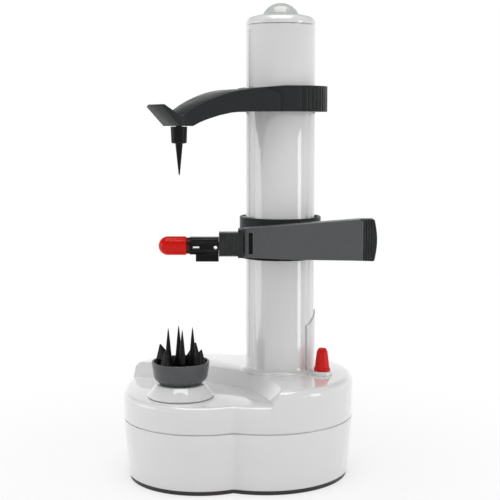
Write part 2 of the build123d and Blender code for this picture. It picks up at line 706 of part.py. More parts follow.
def fin():
    """A wedge with a steep outer edge and a ridge that falls inwards, drawn along +X."""
    root_z = CUP_FLOOR_Z - 1
    outer_r = CUP_R - 0.8
    side = Polyline(
        (FIN_INNER_R, root_z), (FIN_INNER_R, FIN_INNER_Z), (FIN_TIP_R, FIN_TIP_Z),
        (outer_r, CUP_RIM_Z - 0.5), (outer_r, root_z), close=True,
    )
    low_half = FIN_HALF_W - 0.3
    ridge = Polyline(
        (-FIN_HALF_W, root_z), (-low_half, CUP_RIM_Z), (-FIN_HALF_TOP, FIN_TIP_Z), (FIN_HALF_TOP, FIN_TIP_Z),
        (low_half, CUP_RIM_Z), (FIN_HALF_W, root_z), close=True,
    )
    slab = extrude(Plane.XZ * make_face(side), FIN_HALF_W, both=True)
    return slab & extrude(Plane.YZ * make_face(ridge), FAR)


def spike():
    """A tall spike with a slightly hollow flank, at the origin."""
    flank = [(2.9, CUP_FLOOR_Z - 1), (2.5, 77), (1.5, 86), (0.9, 92), (0.2, SPIKE_TIP_Z)]
    return turned((0, 0), [(0, CUP_FLOOR_Z - 1), *flank, (0, SPIKE_TIP_Z)])


def food_cup():
    """Bowl with four tall spikes and four low fins that grip the food."""
    outside = [(12.2, CUP_Z), (14.6, 64.3), (16.0, 66.0), (16.9, 69.0), (CUP_R, CUP_RIM_Z)]
    inside = [(CUP_R - 1.5, CUP_RIM_Z), (CUP_R - 2.0, CUP_FLOOR_Z), (0, CUP_FLOOR_Z)]
    bowl = turned(FOOD, [(0, CUP_Z), *outside, *inside])
    for angle in CUP_ANGLES:
        at = step_from(FOOD, angle, SPIKE_PITCH_R)
        bowl += Pos(*at, 0) * spike()
        bowl += about(FOOD, angle + 45, fin())
    return bowl - rod(FOOD, SPINDLE_R, CUP_Z, CUP_Z + 4)


# ---------------------------------------------------------------- carriage
def carriage():
    """Nut on the lead screw, joined through the tower's rear slot to a sleeve outside."""
    bottom, top = COLLAR_Z
    inner, outer = SLEEVE_R
    reach = NUT_R - 1
    nut = ring(TOWER, NUT_R, LEAD_R + FIT, *NUT_Z)
    half = SLOT_W / 2 - GAP
    tongue = about(TOWER, 90, block((reach, outer - 0.8), (-half, half), NUT_Z))
    sleeve = ring(TOWER, outer, inner, bottom, top - 0.4)
    sleeve += ring(TOWER, COLLAR_R, inner, bottom, bottom + SLEEVE_LIP)
    sleeve -= about(TOWER, 0, block((0, FAR), (-19, 19), (bottom - OVER, top)))
    cam = about(TOWER, 270, block((reach, 11), (-2, 2), NUT_Z))
    return sleeve + nut + tongue + cam - rod(TOWER, LEAD_R + FIT, *NUT_Z)


def arm_collar():
    """Collar that turns on the carriage sleeve and carries the handle."""
    low, top = COLLAR_Z[0] + SLEEVE_LIP + 0.1, COLLAR_Z[1]
    collar = ring(TOWER, COLLAR_R, SLEEVE_R[1] + FIT, low, top)
    collar -= ring(TOWER, COLLAR_R - 1, SLEEVE_R[1], top - 4, top + OVER)
    bridge = block((14, 42), (HANDLE_Y[0] + HANDLE_SKIN, TOWER[1]), BRIDGE_Z)
    return collar + (bridge - rod(TOWER, COLLAR_R - 1, *BRIDGE_Z))


def arm_spring():
    """Flat coil in the collar's top groove that swings the blade to the food."""
    z = (COLLAR_Z[1] - 3.8, COLLAR_Z[1] - 0.6)
    coil = ring(TOWER, COLLAR_R - 1 - GAP, SLEEVE_R[1] + GAP, *z)
    return coil - about(TOWER, 60, block((0, FAR), (-3, 3), z))


def handle_outline(inset):
    """Front outline of the handle as a face in the XZ plane."""
    left, ribs, right = HANDLE_X[0] + inset, HANDLE_X[1], HANDLE_X[2] - inset
    top_left, top_right = [z - inset for z in HANDLE_TOP]
    low_left, low_middle, low_right = [z + inset for z in HANDLE_BOTTOM]
    middle = (right + HANDLE_BULGE, (HANDLE_TOP[1] + HANDLE_BOTTOM[2]) / 2)
    top = Polyline((left, low_left), (left, top_left), (ribs, top_right), (right, top_right))
    tip = ThreePointArc((right, top_right), middle, (right, low_right))
    bottom = Spline((right, low_right), (40, low_middle), (left, low_left))
    return make_face([*top.edges(), tip, bottom])


def handle_layer(inset, y):
    """The handle's outline as a solid between two depths."""
    return Pos(0, y[0], 0) * extrude(Plane.XZ * handle_outline(inset), y[0] - y[1])


def arm_handle():
    """Long tapered handle, an open-backed shell with a ribbed thumb end."""
    front, back = HANDLE_Y
    room = front + HANDLE_SKIN
    outer = handle_layer(0, HANDLE_Y)
    body = chamfer(outer.faces().sort_by(Axis.Y)[0].edges(), 0.8)
    body -= handle_layer(2.0, (room, back + HANDLE_SKIN))
    body -= rod(TOWER, COLLAR_R + GAP, HANDLE_BOTTOM[2] - 10, HANDLE_TOP[1] + 4)
    rib_pitch, rib_w, rib_deep = 1.6, 0.7, 0.5
    tall = (HANDLE_BOTTOM[2] - 2, HANDLE_TOP[1] + 2)
    for rib in range(5):
        x = HANDLE_X[1] + rib_pitch * (rib + 1)
        body -= block((x, x + rib_w), (front - OVER, front + rib_deep), tall)
    body -= block((6.2, 9.0), (front - OVER, front + 3), (144.3, 157.9))
    return body - block((0, 6), (room, back + OVER), (BRIDGE_Z[0] - 0.4, BRIDGE_Z[1] - 0.2))


def blade_neck():
    """Ribbed neck with a flange, plugged into the handle's left end."""
    tip, root = NECK_X
    low, high = NECK_Z
    near, far = ARM_Y - NECK_HALF_W, ARM_Y + NECK_HALF_W
    neck = block(NECK_X, (near, far), NECK_Z)
    rib_pitch, groove_w, groove_deep = 1.2, 0.5, 0.4
    for rib in range(9):
        x0 = tip + 0.9 + rib_pitch * rib
        x = (x0, x0 + groove_w)
        core = block(x, (near + groove_deep, far - groove_deep), (low + groove_deep, high - groove_deep))
        neck -= block(x, (near - OVER, far + OVER), (low - OVER, high + OVER)) - core
    flange = block((root, 3.0), (near - 0.8, far + 0.8), (low - 0.8, high + 2.1))
    plug_y = (HANDLE_Y[0] + HANDLE_SKIN, HANDLE_Y[0] + 8)
    plug = block((3.0, 13.7), plug_y, (BRIDGE_Z[0], BRIDGE_Z[1] - 0.4))
    bore = Pos(tip, ARM_Y, ARM_Z) * Rot(0, 90, 0) * extrude(Circle(STUB_R + FIT), 9)
    return flange + neck + plug - bore


def blade_holder():
    """Black head that rolls on its stub to follow the food."""
    left, right = HOLDER_X
    near, far = ARM_Y - HOLDER_HALF_W, ARM_Y + HOLDER_HALF_W
    body = block(HOLDER_X, (near, far), (144.6, 155.2))
    body = chamfer(body.edges().filter_by(Axis.X), 1.2)
    body += block((-26.1, right), (ARM_Y - 2.6, ARM_Y + 1), (140.2, 146))
    for z in (146.6, 151.4, 153.2):
        body -= block((left - OVER, right + OVER), (near - OVER, near + 0.5), (z, z + 0.8))
    body -= block((-28.0, -23.8), (near - OVER, far + OVER), (148.15, 149.65))
    hole = Pos(-14.0, near - OVER, 148.8) * Rot(-90, 0, 0) * extrude(Circle(1.2), FAR)
    body -= block(BLADE_X, (BLADE_Y, far + OVER), (141, 157)) + hole
    stub = Pos(right, ARM_Y, ARM_Z) * Rot(0, 90, 0) * extrude(Circle(STUB_R), 8.8)
    return body + stub


def peeling_blade():
    """Steel blade with a slit and a raised cutting edge, set in the back of the holder."""
    back = BLADE_Y + 1
    plate = block(BLADE_X, (BLADE_Y, back), BLADE_Z)
    slit = block((-20.6, -19.2), (BLADE_Y - OVER, back + OVER), SLIT_Z)
    return plate - slit + block((-21.6, -20.6), (back, back + 1.3), SLIT_Z)


def tip_guard():
    """Red bullet-shaped nose that rides on the skin beside the blade."""
    turns = [radians(15 * step) for step in range(7)]
    outline = [(NOSE_R * sin(a), NOSE_R - NOSE_R * cos(a)) for a in turns]
    length = HOLDER_X[0] - NOSE_X
    outline += [(NOSE_R, NOSE_L), (NOSE_NECK_R, NOSE_L), (NOSE_NECK_R, length), (0, length)]
    return Pos(NOSE_X, ARM_Y, ARM_Z) * Rot(0, 90, 0) * turned((0, 0), outline)


# ---------------------------------------------------------------- upper arm
def arm_profile():
    """Side outline of the upper arm: distance along it, height."""
    top = Spline((0, 247.2), (16, 247.2), (30, 246.2), (52, 241.8), (66.8, 235.9), (77.6, 228.8))
    tab_top = Polyline((77.6, 228.8), (89.3, 236.0), (90.6, 234.6), (79.2, 223.0), (70.5, 223.0))
    bottom = Spline((70.5, 223.0), (61.9, 227.0), (46.8, 231.2), (30, 232.0), (0, 232.0))
    return make_face([top, tab_top, bottom, Line((0, 232.0), (0, 247.2))])


def arm_plan():
    """Tangent outline from the ring to the round end boss, with the end tab, drawn along +X."""
    tab_l = 20.0
    end = Pos(AXIS_GAP, 0) * Circle(BOSS_END_R)
    tab = Pos(AXIS_GAP + tab_l / 2, 0) * Rectangle(tab_l, 2 * BOSS_END_R)
    return make_hull(Circle(RING_R).edges() + end.edges()) + tab


def upper_arm():
    """Ring on the tower with a long arched arm and an upturned thumb tab."""
    plan = Pos(0, 0, RING_Z[0] - FAR) * extrude(arm_plan(), 2 * FAR)
    arm = about(TOWER, AXIS_ANGLE, plan & extrude(Plane.XZ * arm_profile(), FAR, both=True))
    beside = block((PANEL_END_X, TOWER[0] + FAR), (TOWER[1] - FAR, TOWER[1]), RING_Z)
    arm -= beside - rod(TOWER, RING_R - OVER, *RING_Z)
    arm += ring(TOWER, RING_R, TOWER_R, *RING_Z)
    arm -= rod(TOWER, TOWER_R + FIT, RING_Z[0] - 10, RING_Z[1] + 10)
    arm -= about(TOWER, PAD_ANGLE, pad_zone(PAD_W / 2 + GAP) - rod((0, 0), PAD_WALL_R, *RING_Z))
    for across in PAD_PEGS:
        arm -= about(TOWER, PAD_ANGLE, pad_peg(across, PEG_R + 0.1, PAD_START_R, PAD_R[1]))
    return arm - rod(FOOD, PIVOT_R + FIT, UPPER_SPIKE_Z[2] - OVER, UPPER_SPIKE_Z[3] + GAP)


def pad_zone(half_w):
    """Room of the release pad over the ring's height, drawn along +X."""
    return block((5, FAR), (-half_w, half_w), RING_Z)


def pad_peg(across, radius, start, end):
    """A guide peg of the release pad, along its travel."""
    middle = (RING_Z[0] + RING_Z[1]) / 2
    return Pos(start, across, middle) * Rot(0, 90, 0) * extrude(Circle(radius), end - start)


def release_pad():
    """Ribbed pad let into the ring, pressed to free the arm for sliding."""
    pad = ring((0, 0), PAD_R[1], PAD_R[0], *RING_Z) & pad_zone(PAD_W / 2)
    count, spread, deep = 12, 72, 0.7
    groove = block((PAD_R[1] - deep, FAR), (-0.6, 0.6), (RING_Z[0] - OVER, RING_Z[1] + OVER))
    for rib in range(count):
        pad -= Rot(0, 0, spread * (rib / (count - 1) - 0.5)) * groove
    for across in PAD_PEGS:
        pad += pad_peg(across, PEG_R, PAD_START_R + 2, PAD_R[0] + 0.5)
    return about(TOWER, PAD_ANGLE, pad)


def pad_spring():
    """Leaf spring between the pad and the ring, drawn pressed flat on the ring."""
    leaf = ring((0, 0), PAD_WALL_R + 0.3, PAD_WALL_R, 238, 242) & pad_zone(8)
    return about(TOWER, PAD_ANGLE, leaf)


def upper_spike():
    """Spike that turns freely in the end boss."""
    tip, hub, shoulder, pin = UPPER_SPIKE_Z
    needle = [(0, tip), (0.25, tip), (2.3, hub), (4.7, hub + 0.8), (5.1, shoulder)]
    return turned(FOOD, needle + [(PIVOT_R, shoulder), (PIVOT_R, pin), (0, pin)])


# ---------------------------------------------------------------- thumb knife
def knife_socket():
    """Blind tube through the deck, with a low collar round its mouth."""
    under, floor, rim = SOCKET_Z
    outer, edge = 6.6, 0.8
    collar = [(SOCKET_BORE, DECK_Z), (outer, DECK_Z), (outer, rim - edge)]
    collar += [(outer - edge, rim), (SOCKET_BORE, rim)]
    tube = ring(KNIFE, SOCKET_R, SOCKET_BORE, floor, DECK_Z) + rod(KNIFE, SOCKET_R, under, floor)
    return turned(KNIFE, collar) + tube


def thumb_knife():
    """Red coned grip with its point parked down in the socket."""
    blade_r, grip_z = 3.0, SOCKET_Z[2] + 0.2
    point = [(0, 51.0), (0.6, 51.0), (blade_r, 58.0), (blade_r, grip_z)]
    foot = [(5.2, grip_z), (5.2, 68.3), (4.7, 68.9)]
    cone = [(3.4, 79.5), (2.6, 81.0), (1.2, 81.6), (0, 81.6)]
    return turned(KNIFE, point + foot + cone)


# ---------------------------------------------------------------- write every piece
PIECES = {
    "bottom_plate": bottom_plate(),
    "foot_pads": foot_pads(),
    "battery_door": battery_door(),
    "lower_housing": lower_housing(),
    "upper_housing": upper_housing(),
    "chassis_plate": chassis_plate(),
    "base_screws": base_screws(),
    "idler_axle": axle(IDLER, TRAIN_Z[0] - IDLER_HUB_H - 0.1),
    "compound_axle": axle(COMPOUND, FINE_Z[0] - 0.1),
    "motor": motor(),
    "motor_screws": motor_screws(),
    "motor_shaft": motor_shaft(),
    "motor_pinion": motor_pinion(),
    "compound_gear": compound_gear(),
    "idler_gear": idler_gear(),
    "spindle_gear": spindle_gear(),
    "spindle_shaft": spindle_shaft(),
    "spindle_lower_bush": spindle_lower_bush(),
    "spindle_upper_bush": spindle_upper_bush(),
    "turntable": turntable(),
    "food_cup": food_cup(),
    "lead_screw": lead_screw(),
    "screw_gear": screw_gear(),
    "screw_lower_bush": screw_lower_bush(),
    "screw_upper_bearing": screw_upper_bearing(),
    "screw_upper_bush": screw_upper_bush(),
    "batteries": batteries(),
    "battery_contacts": battery_contacts(),
    "circuit_board": circuit_board(),
    "board_standoffs": board_standoffs(),
    "dc_jack": dc_jack(),
    "switch_rail": switch_rail(),
    "lower_limit_switch": limit_switch(LIMITS_Z[0], 1),
    "upper_limit_switch": limit_switch(LIMITS_Z[1], -1),
    "start_switch": start_switch(),
    "tower_tube": tower_tube(),
    "tower_screws": tower_screws(),
    "tower_cap": tower_cap(),
    "start_button": start_button(),
    "button_spring": button_spring(),
    "spring_seat": spring_seat(),
    "carriage": carriage(),
    "arm_collar": arm_collar(),
    "arm_spring": arm_spring(),
    "arm_handle": arm_handle(),
    "blade_neck": blade_neck(),
    "blade_holder": blade_holder(),
    "peeling_blade": peeling_blade(),
    "tip_guard": tip_guard(),
    "upper_arm": upper_arm(),
    "release_pad": release_pad(),
    "pad_spring": pad_spring(),
    "upper_spike": upper_spike(),
    "knife_socket": knife_socket(),
    "thumb_knife": thumb_knife(),
}

for name, shape in PIECES.items():
    piece = Compound(children=shape) if isinstance(shape, list) else shape
    export_step(piece, f"parts/{name}.step")
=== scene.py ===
"""Dressed model of an upright electric peeler, built round its packed construction."""

import json
import logging
import math
from dataclasses import dataclass
from enum import Enum

import bmesh
import bpy
from mathutils import Matrix, Vector


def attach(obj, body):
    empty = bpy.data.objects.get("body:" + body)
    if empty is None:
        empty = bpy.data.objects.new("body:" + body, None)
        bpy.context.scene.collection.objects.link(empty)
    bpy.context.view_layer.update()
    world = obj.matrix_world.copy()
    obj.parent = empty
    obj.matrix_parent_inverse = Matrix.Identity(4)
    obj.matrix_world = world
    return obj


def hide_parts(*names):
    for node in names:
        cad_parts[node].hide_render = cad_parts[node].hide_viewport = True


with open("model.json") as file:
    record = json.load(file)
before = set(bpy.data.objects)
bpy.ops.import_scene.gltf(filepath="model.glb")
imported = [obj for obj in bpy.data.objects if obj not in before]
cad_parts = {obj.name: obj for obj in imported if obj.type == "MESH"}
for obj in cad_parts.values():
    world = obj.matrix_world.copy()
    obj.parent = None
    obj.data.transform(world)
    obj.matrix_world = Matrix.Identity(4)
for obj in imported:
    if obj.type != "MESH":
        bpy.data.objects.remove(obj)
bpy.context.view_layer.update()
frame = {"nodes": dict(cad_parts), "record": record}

MM = 0.001
LOG = logging.getLogger("peeler")
Point = tuple[float, float]
Colour = tuple[float, float, float]


# ---------------------------------------------------------------- outlines
def polar(radius: float, angle_deg: float, centre: Point = (0.0, 0.0)) -> Point:
    """A point at an angle and a distance from a centre.

    Args:
        radius: Distance from the centre.
        angle_deg: Angle from +X.
        centre: The centre.

    Returns:
        The point.
    """
    turn = math.radians(angle_deg)
    return (centre[0] + radius * math.cos(turn), centre[1] + radius * math.sin(turn))


TOWER_AT: Point = (26.8, 10.4)
ARM_TURN = 211.87
AXIS_GAP = 74.0
FOOD_AT = polar(AXIS_GAP, ARM_TURN, TOWER_AT)
KNIFE_AT: Point = (53.5, -8.3)


def rounded(corners: list[Point], radii: list[float] | float, steps: int = 5) -> list[Point]:
    """Round the corners of a closed outline.

    Args:
        corners: The outline's corners, in order.
        radii: Radius of each corner, or one for all.
        steps: Straight steps in each round.

    Returns:
        The points of the rounded outline.
    """
    count = len(corners)
    sizes = [radii] * count if isinstance(radii, (int, float)) else radii
    points: list[Point] = []
    for i, (corner, radius) in enumerate(zip(corners, sizes)):
        here = Vector(corner)
        back = (Vector(corners[i - 1]) - here).normalized()
        ahead = (Vector(corners[(i + 1) % count]) - here).normalized()
        half = back.angle(ahead) / 2
        if radius <= 0 or half > math.radians(89.5):
            points.append(corner)
            continue
        middle = here + (back + ahead).normalized() * radius / math.sin(half)
        first = here + back * radius / math.tan(half) - middle
        last = here + ahead * radius / math.tan(half) - middle
        turn = first.angle_signed(last)
        for step in range(steps + 1):
            spoke = first.copy()
            spoke.rotate(Matrix.Rotation(-turn * step / steps, 2))
            points.append(tuple(middle + spoke))
    return points


def box_outline(x: Point, z: Point, radius: float = 0.0, steps: int = 4) -> list[Point]:
    """A rectangle with rounded corners.

    Args:
        x: Low and high side.
        z: Low and high end.
        radius: Corner radius.
        steps: Straight steps in each round.

    Returns:
        Its points.
    """
    return rounded([(x[0], z[0]), (x[1], z[0]), (x[1], z[1]), (x[0], z[1])], radius, steps)


# ---------------------------------------------------------------- shaping
class Form:
    """A closed body being shaped. All its sizes are given in millimetres."""

    def __init__(self, name: str, verts: list, faces: list) -> None:
        """Make the body from corners in millimetres and faces."""
        mesh = bpy.data.meshes.new(name)
        mesh.from_pydata([Vector(v) * MM for v in verts], [], faces)
        self.obj = bpy.data.objects.new(name, mesh)
        bpy.context.scene.collection.objects.link(self.obj)
        self.mend()

    def mend(self, merge_mm: float = 0.002) -> "Form":
        """Merge doubles and turn every face outwards."""
        work = bmesh.new()
        work.from_mesh(self.obj.data)
        bmesh.ops.remove_doubles(work, verts=work.verts, dist=merge_mm * MM)
        bmesh.ops.recalc_face_normals(work, faces=work.faces)
        work.to_mesh(self.obj.data)
        work.free()
        return self

    def bake(self) -> "Form":
        """Turn the modifiers into plain mesh and remove them."""
        graph = bpy.context.evaluated_depsgraph_get()
        graph.update()
        mesh = bpy.data.meshes.new_from_object(self.obj.evaluated_get(graph))
        self.obj.modifiers.clear()
        old = self.obj.data
        self.obj.data = mesh
        bpy.data.meshes.remove(old)
        return self

    def combine(self, other: "Form", how: str) -> "Form":
        """Join, cut or keep by another body, which is used up.

        Args:
            other: The other body.
            how: UNION, DIFFERENCE or INTERSECT.

        Returns:
            This body.
        """
        step = self.obj.modifiers.new("step", "BOOLEAN")
        step.operation, step.solver, step.object = how, "EXACT", other.obj
        self.bake()
        bpy.data.objects.remove(other.obj)
        return self

    def cut(self, other: "Form") -> "Form":
        """Take another body away."""
        return self.combine(other, "DIFFERENCE")

    def fuse(self, other: "Form") -> "Form":
        """Join another body on."""
        return self.combine(other, "UNION")

    def keep(self, other: "Form") -> "Form":
        """Keep only what lies inside another body."""
        return self.combine(other, "INTERSECT")

    def flatten(self, angle_deg: float = 0.3) -> "Form":
        """Join faces that lie in one plane, so that only real edges are left."""
        work = bmesh.new()
        work.from_mesh(self.obj.data)
        bmesh.ops.remove_doubles(work, verts=work.verts, dist=0.003 * MM)
        bmesh.ops.dissolve_limit(
            work, angle_limit=math.radians(angle_deg), verts=work.verts, edges=work.edges, delimit=set()
        )
        work.to_mesh(self.obj.data)
        work.free()
        return self

    def soften(self, width: float, steps: int = 3, angle_deg: float = 30) -> "Form":
        """Round every edge that turns more than an angle.

        Args:
            width: Size of the rounding.
            steps: Straight steps across it.
            angle_deg: Edges that turn less stay.

        Returns:
            This body.
        """
        self.flatten()
        step = self.obj.modifiers.new("soft", "BEVEL")
        step.width, step.segments = width * MM, steps
        step.limit_method, step.angle_limit = "ANGLE", math.radians(angle_deg)
        step.miter_outer = "MITER_ARC"
        step.harden_normals = False
        return self.bake()

    def smooth(self, angle_deg: float = 35) -> "Form":
        """Shade smooth, with edges kept where the turn is sharper than an angle."""
        mesh = self.obj.data
        mesh.shade_smooth()
        mesh.set_sharp_from_angle(angle=math.radians(angle_deg))
        return self

    def place(self, body: str, slot: str, *nodes: str, finish: str = "") -> bpy.types.Object:
        """Give the body its finish and set it on what carries it.

        Args:
            body: The moving body that it rides on.
            slot: The finish's slot.
            nodes: Construction pieces that it stands for.
            finish: A finish other than the slot's own.

        Returns:
            The finished piece.
        """
        self.obj.data.materials.clear()
        self.obj.data.materials.append(Finishes.get(finish or slot))
        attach(self.obj, body)
        if nodes:
            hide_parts(*nodes)
        LOG.info("%s on %s, %d faces", self.obj.name, body, len(self.obj.data.polygons))
        return self.obj


def loft(name: str, rings: list[list[tuple]]) -> Form:
    """Skin a closed stack of rings that have the same number of points.

    Args:
        name: Name of the piece.
        rings: The rings from one end to the other, as points in millimetres.

    Returns:
        The closed body.
    """
    count = len(rings[0])
    verts = [point for ring in rings for point in ring]
    faces = []
    for level in range(len(rings) - 1):
        low, high = level * count, (level + 1) * count
        for i in range(count):
            j = (i + 1) % count
            faces.append((low + i, low + j, high + j, high + i))
    faces.append(tuple(range(count))[::-1])
    faces.append(tuple(range(len(verts) - count, len(verts))))
    return Form(name, verts, faces)


def tube_loft(name: str, rings: list[list[tuple]]) -> Form:
    """Skin a closed loop of rings, so that the body is a wall with nothing inside.

    Args:
        name: Name of the piece.
        rings: The rings in order, where the last joins the first.

    Returns:
        The closed body.
    """
    count, total = len(rings[0]), len(rings)
    verts = [point for ring in rings for point in ring]
    faces = []
    for level in range(total):
        low, high = level * count, ((level + 1) % total) * count
        for i in range(count):
            j = (i + 1) % count
            faces.append((low + i, low + j, high + j, high + i))
    return Form(name, verts, faces)


def prism(name: str, outline: list[Point], z: Point) -> Form:
    """Extrude a plan outline between two heights."""
    return loft(name, [[(x, y, level) for x, y in outline] for level in z])


def slab(name: str, outline: list[Point], y: Point) -> Form:
    """Extrude a front outline, given as x and z, between two depths."""
    return loft(name, [[(x, level, z) for x, z in outline] for level in y])


def block(name: str, x: Point, y: Point, z: Point) -> Form:
    """A plain box between three pairs of sides."""
    return prism(name, box_outline(x, y), z)


def lathe(name: str, centre: Point, profile: list[Point], steps: int = 96) -> Form:
    """Turn a closed profile about a vertical axis.

    Args:
        name: Name of the piece.
        centre: Where the axis stands in plan.
        profile: Closed outline as radius and height.
        steps: Steps round the axis.

    Returns:
        The turned body.
    """
    on_axis = [r < 1e-6 for r, _ in profile]
    verts, index = [], []
    for (r, z), pole in zip(profile, on_axis):
        if pole:
            index.append([len(verts)] * steps)
            verts.append((*centre, z))
            continue
        index.append(list(range(len(verts), len(verts) + steps)))
        verts += [(*polar(r, 360 * i / steps, centre), z) for i in range(steps)]
    faces = []
    for a in range(len(profile)):
        b = (a + 1) % len(profile)
        if on_axis[a] and on_axis[b]:
            continue
        for i in range(steps):
            j = (i + 1) % steps
            corners = [index[a][i], index[a][j], index[b][j], index[b][i]]
            faces.append(tuple(dict.fromkeys(corners)))
    return Form(name, verts, faces)


def turn_about(form: Form, centre: Point, angle_deg: float, lift: float = 0.0) -> Form:
    """Turn a body that was drawn along +X from the origin, and set it at a place in plan."""
    move = Matrix.Translation(Vector((*centre, lift)) * MM)
    form.obj.data.transform(move @ Matrix.Rotation(math.radians(angle_deg), 4, "Z"))
    form.obj.data.update()
    return form


def copy_of(node: str, name: str) -> Form:
    """A merged copy of a construction piece, to be softened and dressed.

    Args:
        node: The construction piece.
        name: Name of the new piece.

    Returns:
        The copy.
    """
    form = Form.__new__(Form)
    form.obj = bpy.data.objects.new(name, frame["nodes"][node].data.copy())
    bpy.context.scene.collection.objects.link(form.obj)
    attributes = form.obj.data.attributes
    if "custom_normal" in attributes:
        attributes.remove(attributes["custom_normal"])
    return form.mend()


def soft_copy(node: str, name: str, width: float, steps: int, body: str, slot: str) -> None:
    """Stand a softened copy in for a construction piece.

    Args:
        node: The construction piece.
        name: Name of the new piece.
        width: Size of the rounded edges.
        steps: Straight steps across them.
        body: The moving body that it rides on.
        slot: The finish's slot.
    """
    copy_of(node, name).soften(width, steps, 35).smooth(32).place(body, slot, node)


def drill(centre: Point, radius: float, z: Point, steps: int = 48) -> Form:
    """A round cutter that stands between two heights."""
    return lathe("drill", centre, [(0, z[0]), (radius, z[0]), (radius, z[1]), (0, z[1])], steps)


def pipe(centre: Point, radii: Point, z: Point) -> Form:
    """A straight pipe wall between two radii and two heights."""
    (inner, outer), (low, high) = radii, z
    return lathe("pipe", centre, [(inner, low), (outer, low), (outer, high), (inner, high)], 128)


def lay_down(form: Form, place: tuple[float, float, float], axis: str) -> Form:
    """Turn a body that was drawn upright by a quarter about X or Y, and set it at a place."""
    move = Matrix.Translation(Vector(place) * MM)
    form.obj.data.transform(move @ Matrix.Rotation(math.pi / 2, 4, axis))
    return form


# ---------------------------------------------------------------- node trees
def feed(tree: bpy.types.NodeTree, node: bpy.types.Node, inputs: dict) -> bpy.types.Node:
    """Link a socket or set a value for each named or numbered input of a node."""
    for key, value in inputs.items():
        if isinstance(value, bpy.types.NodeSocket):
            tree.links.new(value, node.inputs[key])
        else:
            node.inputs[key].default_value = value
    return node


def add_node(
    tree: bpy.types.NodeTree, kind: str, inputs: dict, out: int | str = 0, **settings: object
) -> bpy.types.NodeSocket:
    """Add a node, feed it and return one of its outputs.

    Args:
        tree: The tree to add to.
        kind: The node's type.
        inputs: A socket or a value for each input, by its name or number.
        out: Which output to return, by its name or number.
        settings: The node's own settings.

    Returns:
        That output.
    """
    node = tree.nodes.new(kind)
    for key, value in settings.items():
        setattr(node, key, value)
    return feed(tree, node, inputs).outputs[out]


def math_node(
    tree: bpy.types.NodeTree, operation: str, *values: object, clamp: bool = False
) -> bpy.types.NodeSocket:
    """Add a math node.

    Args:
        tree: The tree to add to.
        operation: What it does.
        values: A number or a socket for each of its inputs.
        clamp: Whether the result stays between zero and one.

    Returns:
        Its output.
    """
    inputs = dict(enumerate(values))
    return add_node(tree, "ShaderNodeMath", inputs, operation=operation, use_clamp=clamp)


def noise_node(
    tree: bpy.types.NodeTree, place: bpy.types.NodeSocket, scale: object, detail: float
) -> bpy.types.NodeSocket:
    """Add a noise texture and return its strength, from about 0.3 to 0.7.

    Args:
        tree: The tree to add to.
        place: The coordinates.
        scale: A number or a socket.
        detail: How many finer layers it has.

    Returns:
        Its output.
    """
    return add_node(tree, "ShaderNodeTexNoise", {"Vector": place, "Scale": scale, "Detail": detail})


def mix_node(
    tree: bpy.types.NodeTree, share: object, first: object, second: object
) -> bpy.types.NodeSocket:
    """Mix two colour sockets by a share and return the result."""
    inputs = {"Factor": share, "A": first, "B": second}
    return add_node(tree, "ShaderNodeMix", inputs, out="Result", data_type="RGBA")


def range_node(
    tree: bpy.types.NodeTree, value: bpy.types.NodeSocket, ends: tuple, curve: str = "SMOOTHSTEP"
) -> bpy.types.NodeSocket:
    """Carry a value over from one range to another.

    Args:
        tree: The tree to add to.
        value: The value.
        ends: Both ends of the range it comes from, then of the range it goes to.
        curve: SMOOTHSTEP for soft ends, or LINEAR.

    Returns:
        The result.
    """
    labels = ("From Min", "From Max", "To Min", "To Max")
    inputs = {"Value": value, **dict(zip(labels, ends))}
    return add_node(tree, "ShaderNodeMapRange", inputs, interpolation_type=curve)


def bump_node(
    tree: bpy.types.NodeTree, height: bpy.types.NodeSocket, strength: float, depth_mm: float
) -> bpy.types.NodeSocket:
    """Turn a height into fine relief and return its normal."""
    inputs = {"Strength": strength, "Distance": depth_mm * MM, "Height": height}
    return add_node(tree, "ShaderNodeBump", inputs)


def seen_rays(tree: bpy.types.NodeTree) -> bpy.types.NodeSocket:
    """One where a ray comes from the camera, a reflection or a clear part."""
    path = tree.nodes.new("ShaderNodeLightPath").outputs
    either = math_node(tree, "MAXIMUM", path["Is Camera Ray"], path["Is Glossy Ray"])
    return math_node(tree, "MAXIMUM", either, path["Is Transmission Ray"])


# ---------------------------------------------------------------- repeats
class Pattern(Enum):
    """How a repeated shape is laid out."""

    RING = "ring"
    ROW = "row"


def start_tree(name: str, host: str, kinds: dict[str, str]) -> tuple:
    """Start a geometry tree with its named inputs.

    Args:
        name: Name of the tree.
        host: Label of its geometry input.
        kinds: Kind of each further input, by its label.

    Returns:
        The tree and its input node.
    """
    tree = bpy.data.node_groups.new(name, "GeometryNodeTree")
    put = tree.interface.new_socket
    put(name=host, in_out="INPUT", socket_type="NodeSocketGeometry")
    for label, kind in {**kinds, "Finish": "Material"}.items():
        put(name=label, in_out="INPUT", socket_type=f"NodeSocket{kind}")
    put(name="Result", in_out="OUTPUT", socket_type="NodeSocketGeometry")
    return tree, tree.nodes.new("NodeGroupInput")


def end_tree(
    tree: bpy.types.NodeTree, given: bpy.types.Node, shape: bpy.types.NodeSocket
) -> bpy.types.NodeTree:
    """Make the instances real, give them the finish and lead them out."""
    real = add_node(tree, "GeometryNodeRealizeInstances", {0: shape})
    paint = {"Geometry": real, "Material": given.outputs["Finish"]}
    result = add_node(tree, "GeometryNodeSetMaterial", paint)
    tree.links.new(result, tree.nodes.new("NodeGroupOutput").inputs["Result"])
    return tree


